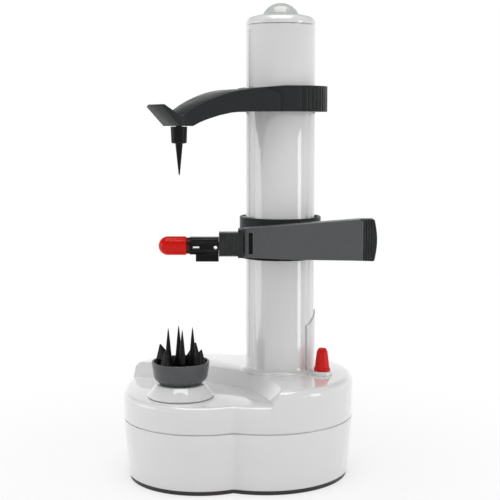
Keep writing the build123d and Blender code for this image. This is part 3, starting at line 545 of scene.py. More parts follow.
def repeat_tree(pattern: Pattern) -> bpy.types.NodeTree:
    """Geometry tree that repeats the host's own shape round an axis or along a line.

    Args:
        pattern: Ring or row.

    Returns:
        The tree, built once for each pattern.
    """
    name = f"repeat_{pattern.value}"
    known = bpy.data.node_groups.get(name)
    if known:
        return known
    kinds = {"Count": "Int", "Start": "Float", "Step": "Float", "Centre": "Vector", "Direction": "Vector"}
    tree, given = start_tree(name, "Shape", kinds)
    value = given.outputs
    index = add_node(tree, "GeometryNodeInputIndex", {})
    travel = add_node(
        tree, "ShaderNodeMath", {0: index, 1: value["Step"], 2: value["Start"]}, operation="MULTIPLY_ADD"
    )
    turn: dict = {}
    if pattern is Pattern.RING:
        place = value["Centre"]
        turn = {"Rotation": add_node(tree, "ShaderNodeCombineXYZ", {"Z": travel})}
    else:
        spread = add_node(
            tree, "ShaderNodeVectorMath", {0: value["Direction"], "Scale": travel}, operation="SCALE"
        )
        place = add_node(tree, "ShaderNodeVectorMath", {0: spread, 1: value["Centre"]}, operation="ADD")
    points = add_node(tree, "GeometryNodePoints", {"Count": value["Count"], "Position": place})
    copies = {"Points": points, "Instance": value["Shape"], **turn}
    return end_tree(tree, given, add_node(tree, "GeometryNodeInstanceOnPoints", copies))


def helix_tree() -> bpy.types.NodeTree:
    """Geometry tree that runs a round thread up an axis, clockwise as it rises."""
    kinds = {label: "Float" for label in ("Radius", "Ridge", "Height", "Turns")}
    tree, given = start_tree("helix_thread", "Host", {**kinds, "Steps": "Int", "Foot": "Vector"})
    value = given.outputs
    spiral = add_node(tree, "GeometryNodeCurveSpiral", {
        "Resolution": value["Steps"], "Rotations": value["Turns"], "Start Radius": value["Radius"],
        "End Radius": value["Radius"], "Height": value["Height"],
    })
    section = {"Resolution": 8, "Radius": value["Ridge"]}
    skin = add_node(tree, "GeometryNodeCurveToMesh", {
        "Fill Caps": True, "Curve": spiral,
        "Profile Curve": add_node(tree, "GeometryNodeCurvePrimitiveCircle", section),
    })
    move = {"Geometry": skin, "Translation": value["Foot"]}
    return end_tree(tree, given, add_node(tree, "GeometryNodeTransform", move))


def spots_tree() -> bpy.types.NodeTree:
    """Geometry tree that sets one shape on every corner of the host, built once."""
    known = bpy.data.node_groups.get("set_on_spots")
    if known:
        return known
    tree, given = start_tree("set_on_spots", "Spots", {"Item": "Object", "Turn": "Float"})
    value = given.outputs
    item = tree.nodes.new("GeometryNodeObjectInfo")
    tree.links.new(value["Item"], item.inputs["Object"])
    index = add_node(tree, "GeometryNodeInputIndex", {})
    angle = add_node(tree, "ShaderNodeMath", {0: index, 1: value["Turn"]}, operation="MULTIPLY")
    copies = {
        "Points": add_node(tree, "GeometryNodeMeshToPoints", {"Mesh": value["Spots"]}),
        "Instance": item.outputs["Geometry"],
        "Rotation": add_node(tree, "ShaderNodeCombineXYZ", {"Z": angle}),
    }
    return end_tree(tree, given, add_node(tree, "GeometryNodeInstanceOnPoints", copies))


def run_tree(form: Form, tree: bpy.types.NodeTree, values: dict) -> Form:
    """Run a geometry tree on a body and keep the result as plain mesh.

    Args:
        form: The body that feeds the tree.
        tree: The tree.
        values: Input values by the sockets' names.

    Returns:
        The body with its new mesh.
    """
    step = form.obj.modifiers.new("repeat", "NODES")
    step.node_group = tree
    for item in tree.interface.items_tree:
        if item.in_out == "INPUT" and item.name in values:
            step[item.identifier] = values[item.name]
    return form.bake()


def ring_of(form: Form, slot: str, count: int, centre: Point, first_deg: float, step_deg: float) -> Form:
    """Repeat a body that is drawn along +X round a vertical axis.

    Args:
        form: The body to repeat.
        slot: Its finish.
        count: How many.
        centre: Where the axis stands in plan.
        first_deg: Angle of the first.
        step_deg: Angle between neighbours.

    Returns:
        The ring as one body.
    """
    return run_tree(form, repeat_tree(Pattern.RING), {
        "Count": count,
        "Start": math.radians(first_deg),
        "Step": math.radians(step_deg),
        "Centre": Vector((*centre, 0)) * MM,
        "Finish": Finishes.get(slot),
    })


def row_of(form: Form, slot: str, count: int, step: tuple[float, float, float]) -> Form:
    """Repeat a body along a line, from where it stands.

    Args:
        form: The body to repeat.
        slot: Its finish.
        count: How many.
        step: From one to the next, in millimetres.

    Returns:
        The row as one body.
    """
    stride = Vector(step)
    return run_tree(form, repeat_tree(Pattern.ROW), {
        "Count": count,
        "Start": 0.0,
        "Step": stride.length * MM,
        "Direction": stride.normalized(),
        "Finish": Finishes.get(slot),
    })


def on_spots(name: str, item: Form, slot: str, spots: list[Point], turn_deg: float = 0.0) -> Form:
    """Set one body, drawn at the origin, on several places in plan.

    Args:
        name: Name of the group.
        item: The body to repeat, which is used up.
        slot: Its finish.
        spots: The places.
        turn_deg: How much further each is turned than the one before.

    Returns:
        The group as one body.
    """
    host = Form(name, [(x, y, 0) for x, y in spots], [])
    run_tree(host, spots_tree(), {
        "Item": item.obj,
        "Turn": math.radians(turn_deg),
        "Finish": Finishes.get(slot),
    })
    bpy.data.objects.remove(item.obj)
    return host


# ---------------------------------------------------------------- shared surface effects
def effect_group(name: str, inputs: dict, outputs: dict) -> tuple:
    """Start a shader group with its sockets.

    Args:
        name: Name of the group.
        inputs: Kind of each input socket, by its label.
        outputs: Kind of each output socket, by its label.

    Returns:
        The tree, its input node and its output node.
    """
    tree = bpy.data.node_groups.new(name, "ShaderNodeTree")
    for in_out, sockets in (("INPUT", inputs), ("OUTPUT", outputs)):
        for label, kind in sockets.items():
            tree.interface.new_socket(name=label, in_out=in_out, socket_type=f"NodeSocket{kind}")
    return tree, tree.nodes.new("NodeGroupInput"), tree.nodes.new("NodeGroupOutput")


def tone_effect(
    broad_scale: float = 28, cloud_scale: float = 90, haze: Point = (0.8, 0.6)
) -> bpy.types.NodeTree:
    """Slow drift of a colour's tone and roughness, with a fine grain as height.

    Args:
        broad_scale: Scale of the drift in tone.
        cloud_scale: Scale of the drift in roughness.
        haze: Factor and offset of the drift in roughness.

    Returns:
        The group.
    """
    tree, start, end = effect_group(
        "MouldedTone",
        {"Place": "Vector", "Colour": "Color", "Drift": "Float", "Grain scale": "Float",
         "Roughness": "Float"},
        {"Colour": "Color", "Roughness": "Float", "Height": "Float"},
    )
    given = start.outputs
    place = given["Place"]
    swing = math_node(tree, "MULTIPLY_ADD", noise_node(tree, place, broad_scale, 3), 2, -1)
    lift = math_node(tree, "MULTIPLY_ADD", swing, given["Drift"], 1)
    cloudy = math_node(tree, "MULTIPLY_ADD", noise_node(tree, place, cloud_scale, 2), *haze)
    tint = {0: given["Colour"], "Scale": lift}
    feed(tree, end, {
        "Colour": add_node(tree, "ShaderNodeVectorMath", tint, operation="SCALE"),
        "Roughness": math_node(tree, "MULTIPLY", given["Roughness"], cloudy),
        "Height": noise_node(tree, place, given["Grain scale"], 2),
    })
    return tree


def edge_effect(samples: int = 4, wear_and_highlight_scale: float = 160) -> bpy.types.NodeTree:
    """Edges painted lighter than the faces beside them: partly handling wear, partly a painted highlight
    where light catches a rounded edge.

    Args:
        samples: Rays that look for an edge.
        wear_and_highlight_scale: Scale of the uneven wear and painted highlight.

    Returns:
        The group.
    """
    tree, start, end = effect_group(
        "EdgeWearAndHighlight",
        {"Place": "Vector", "Colour": "Color", "Edge colour": "Color", "Amount": "Float",
         "Radius": "Float"},
        {"Colour": "Color"},
    )
    given = start.outputs
    bevel = add_node(tree, "ShaderNodeBevel", {"Radius": given["Radius"]}, samples=samples)
    flat = add_node(tree, "ShaderNodeNewGeometry", {}, out="Normal")
    match = add_node(
        tree, "ShaderNodeVectorMath", {0: bevel, 1: flat}, out="Value", operation="DOT_PRODUCT"
    )
    bend = math_node(tree, "SUBTRACT", 1, match)
    wear_and_highlight = math_node(tree, "MULTIPLY", bend, noise_node(tree, given["Place"], wear_and_highlight_scale, 2))
    # Painted highlight and wear: edges are lightened where the bevel normal turns away from the face.
    mask = math_node(tree, "MULTIPLY", wear_and_highlight, given["Amount"], clamp=True)
    feed(tree, end, {"Colour": mix_node(tree, mask, given["Colour"], given["Edge colour"])})
    return tree


def dust_effect(
    facing: Point = (2.5, -1.5), speck_scale: float = 900, patches: Point = (0.45, 0.75),
    rougher: float = 0.5,
) -> bpy.types.NodeTree:
    """A little dust where a surface faces up.

    Args:
        facing: Factor and offset of how far a face looks up.
        speck_scale: Scale of the specks.
        patches: Strength of the noise where the dust starts and where it is full.
        rougher: How much rougher it makes the surface.

    Returns:
        The group.
    """
    tree, start, end = effect_group(
        "SettledDust",
        {"Place": "Vector", "Colour": "Color", "Dust colour": "Color", "Roughness": "Float",
         "Amount": "Float"},
        {"Colour": "Color", "Roughness": "Float"},
    )
    given = start.outputs
    flat = add_node(tree, "ShaderNodeNewGeometry", {}, out="Normal")
    rise = add_node(tree, "ShaderNodeSeparateXYZ", {0: flat}, out="Z")
    up = math_node(tree, "MULTIPLY_ADD", rise, *facing, clamp=True)
    specks = noise_node(tree, given["Place"], speck_scale, 4)
    share = math_node(tree, "MULTIPLY", up, range_node(tree, specks, (*patches, 0, 1), "LINEAR"))
    mask = math_node(tree, "MULTIPLY", share, given["Amount"])
    more = math_node(tree, "MULTIPLY", mask, rougher)
    feed(tree, end, {
        "Colour": mix_node(tree, mask, given["Colour"], given["Dust colour"]),
        "Roughness": math_node(tree, "ADD", given["Roughness"], more),
    })
    return tree


def brush_effect(
    stretch: Colour = (1, 1, 0.04), line_scale: float = 2200, spread: Point = (0.6, 0.7)
) -> bpy.types.NodeTree:
    """Fine lines that run one way over a metal, as height and roughness.

    Args:
        stretch: Factors that draw the noise out into lines.
        line_scale: Scale of the lines.
        spread: Factor and offset of their roughness.

    Returns:
        The group.
    """
    tree, start, end = effect_group(
        "BrushedLines",
        {"Place": "Vector", "Roughness": "Float"},
        {"Roughness": "Float", "Height": "Float"},
    )
    given = start.outputs
    drawn = add_node(
        tree, "ShaderNodeVectorMath", {0: given["Place"], 1: stretch}, operation="MULTIPLY"
    )
    lines = noise_node(tree, drawn, line_scale, 3)
    share = math_node(tree, "MULTIPLY_ADD", lines, *spread)
    feed(tree, end, {
        "Roughness": math_node(tree, "MULTIPLY", given["Roughness"], share),
        "Height": lines,
    })
    return tree


class Effect(Enum):
    """The shared effects, each with the function that builds its group."""

    TONE = (tone_effect,)
    EDGE = (edge_effect,)
    DUST = (dust_effect,)
    BRUSH = (brush_effect,)


class Effects:
    """The shared groups, each built when it is first used."""

    made: dict[Effect, bpy.types.NodeTree] = {}

    @classmethod
    def node(cls, tree: bpy.types.NodeTree, effect: Effect, **values: object) -> bpy.types.Node:
        """Add an effect to a material.

        Args:
            tree: The material's tree.
            effect: Which effect.
            values: A value or a socket for each input, with _ for a space in its label.

        Returns:
            The group node.
        """
        if effect not in cls.made:
            cls.made[effect] = effect.value[0]()
        node = tree.nodes.new("ShaderNodeGroup")
        node.node_tree = cls.made[effect]
        return feed(tree, node, {
            key.replace("_", " "): (*value, 1) if isinstance(value, tuple) else value
            for key, value in values.items()
        })


# ---------------------------------------------------------------- finishes
def start_material(name: str) -> tuple:
    """Start a material.

    Args:
        name: Its name.

    Returns:
        The material, its tree, its shader and the object's own coordinates.
    """
    mat = bpy.data.materials.new(name)
    mat.use_nodes = True
    tree = mat.node_tree
    place = add_node(tree, "ShaderNodeTexCoord", {}, out="Object")
    return mat, tree, tree.nodes["Principled BSDF"], place


@dataclass(frozen=True)
class Plastic:
    """A moulded plastic: drifting tone, fine grain, lighter edges that are partly wear and partly painted
    highlight, and a trace of dust.
    """

    name: str
    colour: Colour
    roughness: float
    drift: float = 0.03
    grain_mm: float = 0.6
    grain_depth: float = 0.0
    grain_strength: float = 0.5
    specular: float = 0.5
    coat: float = 0.0
    coat_roughness: float = 0.03
    edge: Colour | None = None
    edge_amount: float = 3.0
    edge_mm: float = 0.35
    dust: float = 0.0
    dust_colour: Colour = (0.35, 0.34, 0.32)
    transmission: float = 0.0
    subsurface: float = 0.0
    glow_mm: Colour = (4.0, 2.0, 2.0)
    ior: float = 1.5

    def build(self) -> bpy.types.Material:
        """Make the material.

        Returns:
            The finished material.
        """
        mat, tree, shader, place = start_material(self.name)
        tone = Effects.node(
            tree, Effect.TONE, Place=place, Colour=self.colour, Drift=self.drift,
            Grain_scale=1 / (self.grain_mm * MM), Roughness=self.roughness,
        )
        colour, rough = tone.outputs["Colour"], tone.outputs["Roughness"]
        # Lighter edges: partly wear, partly a painted highlight along rounded edges.
        if self.edge:
            wear_and_highlight = Effects.node(
                tree, Effect.EDGE, Place=place, Colour=colour, Edge_colour=self.edge,
                Amount=self.edge_amount, Radius=self.edge_mm * MM,
            )
            colour = wear_and_highlight.outputs["Colour"]
        if self.dust:
            dusty = Effects.node(
                tree, Effect.DUST, Place=place, Colour=colour, Dust_colour=self.dust_colour,
                Roughness=rough, Amount=self.dust,
            )
            colour, rough = dusty.outputs["Colour"], dusty.outputs["Roughness"]
        if self.grain_depth:
            grain = bump_node(tree, tone.outputs["Height"], self.grain_strength, self.grain_depth)
            feed(tree, shader, {"Normal": grain})
        feed(tree, shader, {
            "Base Color": colour,
            "Roughness": rough,
            "Coat Weight": self.coat,
            "Coat Roughness": self.coat_roughness,
            "Specular IOR Level": self.specular,
            "IOR": self.ior,
            "Transmission Weight": self.transmission,
            "Subsurface Weight": self.subsurface,
            "Subsurface Radius": Vector(self.glow_mm) * MM,
            "Subsurface Scale": 1.0,
        })
        return mat


@dataclass(frozen=True)
class Metal:
    """A brushed metal."""

    name: str
    colour: Colour
    roughness: float
    drift: float = 0.08
    grain_mm: float = 0.5
    line_depth: float = 0.01
    line_strength: float = 0.4

    def build(self) -> bpy.types.Material:
        """Make the material.

        Returns:
            The finished material.
        """
        mat, tree, shader, place = start_material(self.name)
        tone = Effects.node(
            tree, Effect.TONE, Place=place, Colour=self.colour, Drift=self.drift,
            Grain_scale=1 / (self.grain_mm * MM), Roughness=self.roughness,
        )
        lines = Effects.node(tree, Effect.BRUSH, Place=place, Roughness=tone.outputs["Roughness"])
        feed(tree, shader, {
            "Base Color": tone.outputs["Colour"],
            "Roughness": lines.outputs["Roughness"],
            "Normal": bump_node(tree, lines.outputs["Height"], self.line_strength, self.line_depth),
            "Metallic": 1.0,
        })
        return mat


# Edge colours lighten rounded edges: partly wear, partly painted highlight.
FINISH_LIST = {
    finish.name: finish
    for finish in (
        Plastic("white_gloss", (0.80, 0.80, 0.80), 0.04, drift=0.012, coat=1.0),
        Plastic("base_dark", (0.02, 0.015, 0.013), 0.4, drift=0.1, grain_depth=0.02, dust=0.1),
        Plastic("rubber_pad", (0.02, 0.02, 0.02), 0.8, grain_mm=0.4, grain_depth=0.04, dust=0.1),
        Plastic("arm_grey", (0.032, 0.034, 0.035), 0.3, specular=0.06, grain_depth=0.01,
                edge=(0.2, 0.2, 0.2), edge_amount=2.5, edge_mm=0.5),
        Plastic("handle_grey", (0.080, 0.084, 0.088), 0.28, specular=0.4, grain_depth=0.01,
                edge=(0.26, 0.26, 0.26), edge_amount=6.0, edge_mm=0.7, dust=0.03),
        Plastic("black_plastic", (0.003, 0.003, 0.003), 0.25, specular=0.12,
                edge=(0.2, 0.2, 0.2), edge_amount=5.0),
        Plastic("dark_spike", (0.006, 0.006, 0.007), 0.22, specular=0.12,
                edge=(0.2, 0.2, 0.19), edge_amount=4.0),
        Plastic("red_translucent", (0.78, 0.008, 0.002), 0.2, specular=0.12, transmission=0.25, ior=1.45),
        Plastic("red_over_black", (0.065, 0.005, 0.004), 0.2, specular=0.2),
        Plastic("red_plastic", (0.72, 0.010, 0.008), 0.2, specular=0.2),
        Plastic("pearl_button", (0.56, 0.59, 0.57), 0.1, subsurface=0.3, coat=0.5, drift=0.02),
        Plastic("gear_plastic", (0.72, 0.70, 0.62), 0.4, grain_depth=0.01),
        Plastic("cell_jacket", (0.05, 0.06, 0.09), 0.3, edge=(0.3, 0.3, 0.32)),
        Plastic("board_green", (0.01, 0.09, 0.03), 0.4, grain_mm=0.3, grain_depth=0.02, drift=0.15),
        Metal("steel", (0.55, 0.55, 0.56), 0.22),
        Metal("zinc", (0.5, 0.51, 0.53), 0.35),
        Metal("brass_bush", (0.62, 0.45, 0.2), 0.35),
    )
}


class Finishes:
    """The part's finishes, each built when it is first asked for."""

    made: dict[str, bpy.types.Material] = {}

    @classmethod
    def get(cls, slot: str) -> bpy.types.Material:
        """The material of a slot."""
        if slot not in cls.made:
            cls.made[slot] = FINISH_LIST[slot].build()
        return cls.made[slot]


# ---------------------------------------------------------------- studio
@dataclass
class Studio:
    """Camera, lamps, backdrop and floor."""

    eye: tuple[float, float, float] = (7.2, -702.0, 224.3)
    pitch_deg: float = 6.54
    lens: float = 79.2
    clip: Point = (0.01, 50)
    floor_size: float = 6.0
    floor_z: float = -0.05
    floor_tone: Colour = (0.9, 0.9, 0.9)
    floor_rough: float = 0.6
    ambient: float = 0.5
    ceiling: tuple = (0.15, 0.6, 1.0, 0.15)
    floor_fade: tuple = (0.08, 0.3, 0.65, 1.0)
    lamps: tuple = (
        ("left_box", (-1.0, -0.12, 0.22), (0.0, 0.0, 0.12), (0.6, 0.5), 1.2),
        ("right_box", (0.92, -0.4, 0.22), (0.0, 0.0, 0.12), (0.22, 0.5), 1.0),
        ("top_box", (0.0, -0.15, 2.4), (0.0, 0.0, 0.1), (1.8, 1.8), 33),
    )

    def camera(self) -> None:
        """Set the camera at the viewing angle."""
        data = bpy.data.cameras.new("camera")
        data.lens = self.lens
        data.sensor_width = 36
        data.clip_start, data.clip_end = self.clip
        cam = bpy.data.objects.new("camera", data)
        cam.location = Vector(self.eye) * MM
        cam.rotation_euler = (math.radians(90 - self.pitch_deg), 0, 0)
        bpy.context.scene.collection.objects.link(cam)
        bpy.context.scene.camera = cam

    def lamp(self, name: str, place: tuple, aim: tuple, size: Point, watts: float) -> None:
        """Add one soft box.

        Args:
            name: Name of the lamp.
            place: Where it stands, in metres.
            aim: The point that it faces, in metres.
            size: Width and height in metres.
            watts: Its power.
        """
        data = bpy.data.lights.new(name, "AREA")
        data.shape = "RECTANGLE"
        data.size, data.size_y = size
        data.energy = watts
        obj = bpy.data.objects.new(name, data)
        obj.location = place
        obj.rotation_euler = (Vector(aim) - Vector(place)).to_track_quat("-Z", "Y").to_euler()
        bpy.context.scene.collection.objects.link(obj)

    def world(self) -> None:
        """White backdrop, dimmer overhead in reflections and softer where it only lights."""
        world = bpy.data.worlds.new("backdrop")
        bpy.context.scene.world = world
        world.use_nodes = True
        tree = world.node_tree
        path = tree.nodes.new("ShaderNodeLightPath").outputs
        place = add_node(tree, "ShaderNodeTexCoord", {}, out="Generated")
        height = add_node(tree, "ShaderNodeSeparateXYZ", {0: place}, out="Z")
        overhead = range_node(tree, height, self.ceiling)
        mirrored = math_node(tree, "MULTIPLY", path["Is Glossy Ray"], overhead)
        direct = math_node(tree, "MAXIMUM", path["Is Camera Ray"], path["Is Transmission Ray"])
        seen = math_node(tree, "MAXIMUM", direct, mirrored)
        only_light = math_node(tree, "SUBTRACT", 1, seen_rays(tree))
        level = math_node(tree, "MULTIPLY_ADD", only_light, self.ambient, seen)
        feed(tree, tree.nodes["Background"], {"Strength": level, "Color": (1, 1, 1, 1)})

    def floor(self) -> None:
        """Pale floor that keeps the shadow and fades to white away from the object."""
        half = self.floor_size / 2 / MM
        corners = [(x * half, y * half, self.floor_z) for x, y in ((-1, -1), (1, -1), (1, 1), (-1, 1))]
        obj = Form("floor", corners, [(0, 1, 2, 3)]).obj
        mat, tree, shader, place = start_material("pale_floor")
        feed(tree, shader, {"Base Color": (*self.floor_tone, 1), "Roughness": self.floor_rough})
        away = add_node(tree, "ShaderNodeVectorMath", {0: place}, out="Value", operation="LENGTH")
        fade = range_node(tree, away, self.floor_fade)
        surface = add_node(tree, "ShaderNodeMixShader", {
            "Fac": math_node(tree, "MULTIPLY", fade, seen_rays(tree)),
            1: shader.outputs[0],
            2: add_node(tree, "ShaderNodeEmission", {"Strength": 1.0}),
        })
        feed(tree, tree.nodes["Material Output"], {"Surface": surface})
        obj.data.materials.append(mat)

    def build(self) -> None:
        """Set up the whole studio."""
        self.camera()
        self.world()
        self.floor()
        for lamp in self.lamps:
            self.lamp(*lamp)


# ---------------------------------------------------------------- base
@dataclass
class Base:
    """The two glossy base shells: two round lobes, a tray and a raised deck."""

    lobes: tuple = ((-24.0, 10.2, 49.495), (16.9, 1.7, 56.695))
    crease: float = 2.2
    ways_round: int = 180
    draft: float = 2.6
    foot_z: float = 2.7
    foot_round: float = 0.4
    split_z: float = 38.5
    split_gap: float = 0.6
    seam_round: Point = (0.15, 0.5)
    lip: float = 1.3
    lip_rise: float = 2.6
    wall: float = 2.4
    wall_levels: Point = (14.0, 26.0)
    inlet_at: tuple[float, float, float] = (16.9, 56.9, 20.0)
    inlet_r: float = 5.05
    inlet_deep: float = 9.0
    tray_z: float = 55.3
    tray_edge: float = 3.0
    deck_z: float = 64.5
    deck_edge: float = 4.5
    tighter: float = 1.0
    arc_steps: int = 6
    wall_centre: Point = (-51.5, -56.8)
    wall_foot_r: float = 72.0
    wall_rim_r: float = 78.0
    wall_turn: Point = (65.0, -3.0)
    wall_steps: int = 34
    wall_left: Point = (35.0, 37.5)
    wall_below: float = 8.0
    wall_lean: float = 1.4
    around_x: Point = (-100.0, 130.0)
    around_y: Point = (-87.0, 120.0)
    soft: float = 0.9
    holes: tuple = ((TOWER_AT, 13.5), (FOOD_AT, 6.0), (KNIFE_AT, 5.0))
    hole_z: Point = (40.0, 80.0)

    def reach(self, angle: float, grow: float) -> float:
        """Distance from the origin to the outline at an angle, in radians.

        Args:
            angle: The direction.
            grow: How far outside the widest outline.

        Returns:
            The distance, eased where the two lobes meet.
        """
        dx, dy = math.cos(angle), math.sin(angle)
        ways = []
        for x, half, radius in self.lobes:
            r = radius + grow
            exits = []
            for y in (half, -half):
                near = x * dx + y * dy
                exits.append(near + math.sqrt(near**2 - x**2 - y**2 + r**2))
            side = (x + math.copysign(r, dx)) / dx if abs(dx) > 1e-9 else 0
            if abs(side * dy) <= half:
                exits.append(side)
            ways.append(max(exits))
        apart = abs(ways[0] - ways[1])
        ease = max(0.0, self.crease - apart) ** 2 / (4 * self.crease)
        return max(ways) + ease

    def angles(self) -> list[float]:
        """Directions of the outline's points, closer together in the creases."""
        even = [2 * math.pi * i / self.ways_round for i in range(self.ways_round)]
        creases = [
            a for a, b in zip(even, even[1:] + [2 * math.pi])
            if self.lobe_at(a) != self.lobe_at(b)
        ]
        close = [c + math.radians(0.5 * k) for c in creases for k in range(-7, 10)]
        return sorted(set(round(a, 6) for a in even + close))

    def lobe_at(self, angle: float) -> int:
        """Which lobe forms the outline in a direction."""
        single = [Base(lobes=(lobe, lobe), crease=1e-6).reach(angle, 0) for lobe in self.lobes]
        return single.index(max(single))

    def ring(self, directions: list[float], grow: float, z: float) -> list[tuple]:
        """The outline at a height as points."""
        return [
            (self.reach(a, grow) * math.cos(a), self.reach(a, grow) * math.sin(a), z)
            for a in directions
        ]

    def inset_at(self, z: float) -> float:
        """How far the drafted wall stands inside the widest outline."""
        return self.draft * max(0.0, 1 - (z - self.foot_z) / (self.split_z - self.foot_z))

    def arc(self, top: float, radius: float, grow: float) -> list[Point]:
        """Insets and heights of a rounded top edge."""
        turns = [math.pi / 2 * k / self.arc_steps for k in range(self.arc_steps + 1)]
        return [(grow - radius * (1 - math.cos(t)), top - radius * (1 - math.sin(t))) for t in turns]

    def lower_shell(self) -> None:
        """Lower half: a drafted wall with a lip that the upper half sits over."""
        ways = self.angles()
        top = self.split_z - self.split_gap / 2
        rise = top + self.lip_rise
        near, far = self.seam_round
        up = (self.foot_z + self.foot_round, *self.wall_levels, top - far)
        down = (*self.wall_levels[::-1], self.foot_z)
        stations = [(-self.inset_at(self.foot_z) - self.foot_round, self.foot_z)]
        stations += [(-self.inset_at(z), z) for z in up]
        stations += [(-near, top - near), (-far, top), (-self.lip, top), (-self.lip, rise)]
        stations += [(-self.wall, rise)] + [(-self.wall - self.inset_at(z), z) for z in down]
        shell = tube_loft("base_lower_shell", [self.ring(ways, g, z) for g, z in stations])
        inlet = drill((0, 0), self.inlet_r, (-self.inlet_deep, self.inlet_deep))
        shell.cut(lay_down(inlet, self.inlet_at, "X"))
        shell.smooth(30).place("root", "white_gloss", "lower_housing")

    def hull(self, name: str, top: float, edge: float, shrink: float) -> Form:
        """One rounded body over the whole outline, up to a height."""
        low = self.split_z + self.split_gap / 2
        near, far = self.seam_round
        stations = [(-far - shrink, low), (-near - shrink, low + near), (-shrink, low + far)]
        stations += self.arc(top, edge, -shrink)
        ways = self.angles()
        return loft(name, [self.ring(ways, g, z) for g, z in stations])

    def wall_line(self, radius: float, left_y: float, inset: float, z: float) -> list[tuple]:
        """Closed outline behind the wall: straight from the left, round an arc, then straight to the front.

        Args:
            radius: Radius of the arc.
            left_y: Where the straight part starts, far to the left.
            inset: How far the whole line moves back.
            z: Its height.

        Returns:
            The points.
        """
        first, last = self.wall_turn
        (left, right), (front, back) = self.around_x, self.around_y
        turns = [first + (last - first) * k / self.wall_steps for k in range(self.wall_steps + 1)]
        line = [(left, left_y + inset)] + [polar(radius + inset, a, self.wall_centre) for a in turns]
        line += [(line[-1][0] - self.wall_lean, front), (right, front), (right, back), (left, back)]
        return [(x, y, z) for x, y in line]

    def raised_part(self, name: str, inset: float) -> Form:
        """Block over the raised deck, whose side is the slanted wall above the tray."""
        rise = self.deck_z - self.tray_z
        foot, rim = self.wall_foot_r, self.wall_rim_r
        low, high = self.wall_left
        return loft(name, [
            self.wall_line(foot, low, inset, self.tray_z - self.wall_below),
            self.wall_line(foot, low, inset, self.tray_z),
            self.wall_line(rim, high, inset, self.deck_z),
            self.wall_line(2 * rim - foot, 2 * high - low, inset, self.deck_z + rise),
        ])

    def two_levels(self, name: str, shrink: float) -> Form:
        """Tray and raised deck as one body, shrunk on every side for the hollow inside."""
        edge = self.tighter if shrink else 0.0
        body = self.hull(name, self.tray_z - shrink, self.tray_edge - edge, shrink)
        deck = self.hull("deck", self.deck_z - shrink, self.deck_edge - edge, shrink)
        return body.fuse(deck.keep(self.raised_part("wall", shrink)))

    def upper_shell(self) -> None:
        """Upper half: the tray at one level and the deck above it."""
        body = self.two_levels("base_upper_shell", 0)
        hollow = self.two_levels("hollow", self.wall)
        body.soften(self.soft, 3, 26).cut(hollow)
        for at, radius in self.holes:
            body.cut(drill(at, radius, self.hole_z))
        body.smooth(28).place("root", "white_gloss", "upper_housing")

    def build(self) -> None:
        """Make the base's shells."""
        self.lower_shell()
        self.upper_shell()


# ---------------------------------------------------------------- tower
@dataclass
class Tower:
    """Tube, cap and domed start button."""

    axis: Point = TOWER_AT
    leaf_r: float = 22.9
    leaf_half: float = 15.7
    leaf_foot: float = 66.0
    leaf_out: float = 40.0
    leaf_over: float = 110.0
    leaf_in: float = 21.0
    tip_share: float = 1.5
    leaf_z: Point = (95.0, 103.5)
    groove: float = 0.7
    groove_deep: float = 1.3
    groove_over: float = 25.0
    slit_z: Point = (66.4, 95.2)
    cap_side: tuple = (
        (22.2, 286.7), (22.2, 288.6), (20.6, 291.2), (16.4, 292.6), (12.1, 292.6), (12.1, 290.2),
        (18.0, 290.2), (19.2, 289.0), (19.2, 278.0), (20.2, 278.0), (20.2, 286.7),
    )
    cap_rounds: tuple = (0.25, 2.0, 3.5, 2.5, 0.5, 0.2, 0.5, 0.5, 0.3, 0.3, 0)
    stem: tuple = ((0, 277.2), (3, 277.2), (3, 286.5), (13.6, 286.5), (13.6, 290.0), (11.8, 290.0))
    dome_top: float = 300.598
    dome_radius: float = 12.9
    dome_edge: float = 11.8
    dome_steps: int = 16

    def cap(self) -> None:
        """Rounded shoulder that closes the tower."""
        side = rounded(list(self.cap_side), list(self.cap_rounds), 6)
        lathe("tower_cap_shell", self.axis, side, 128).smooth(30).place("root", "white_gloss", "tower_cap")

    def dome(self) -> None:
        """Domed button with its retaining flange and stem."""
        r, steps = self.dome_radius, self.dome_steps
        centre_z = self.dome_top - r
        start = math.asin(self.dome_edge / r)
        turns = [start * (1 - k / steps) for k in range(steps)]
        arc = [(r * math.sin(a), centre_z + r * math.cos(a)) for a in turns]
        dome = lathe("start_dome", self.axis, list(self.stem) + arc + [(0, self.dome_top)])
        dome.smooth(30).place("start_button", "pearl_button", "start_button")

    def leaf(self, name: str, inset: float, reach: Point) -> Form:
        """Pointed leaf on the right of the foot, between two radii.

        Args:
            name: Name of the body.
            inset: How far its outline stands inside the widest leaf.
            reach: Inner and outer radius.

        Returns:
            The leaf.
        """
        x, y = self.axis
        low, half = self.leaf_foot, self.leaf_half - inset
        shoulder, tip = self.leaf_z[0], self.leaf_z[1] - self.tip_share * inset
        side = [(y - half, low), (y + half, low), (y + half, shoulder), (y, tip), (y - half, shoulder)]
        body = loft(name, [[(level, across, z) for across, z in side] for level in (x, x + self.leaf_out)])
        return body.keep(pipe(self.axis, reach, (low, self.leaf_over)))

    def tube(self) -> None:
        """Tube with its flared foot, keyway and a leaf outlined by a groove."""
        tube = copy_of("tower_tube", "tower_body")
        tube.fuse(self.leaf("leaf", 0, (self.leaf_in, self.leaf_r)))
        floor, over, half = self.leaf_r - self.groove_deep, self.groove_over, self.groove / 2
        line = self.leaf("groove", 0, (floor, over))
        line.cut(self.leaf("island", self.groove, (self.leaf_in - 1, over + 1)))
        lean = math.degrees(math.asin((self.leaf_half - half) / self.leaf_r))
        for side in (-lean, lean):
            slit = block("slit", (floor, over + 1), (-half, half), self.slit_z)
            line.fuse(turn_about(slit, self.axis, side))
        tube.cut(line)
        tube.soften(0.2, 2, 35).smooth(30).place("root", "white_gloss", "tower_tube")

    def build(self) -> None:
        """Make the tower."""
        self.tube()
        self.cap()
        self.dome()


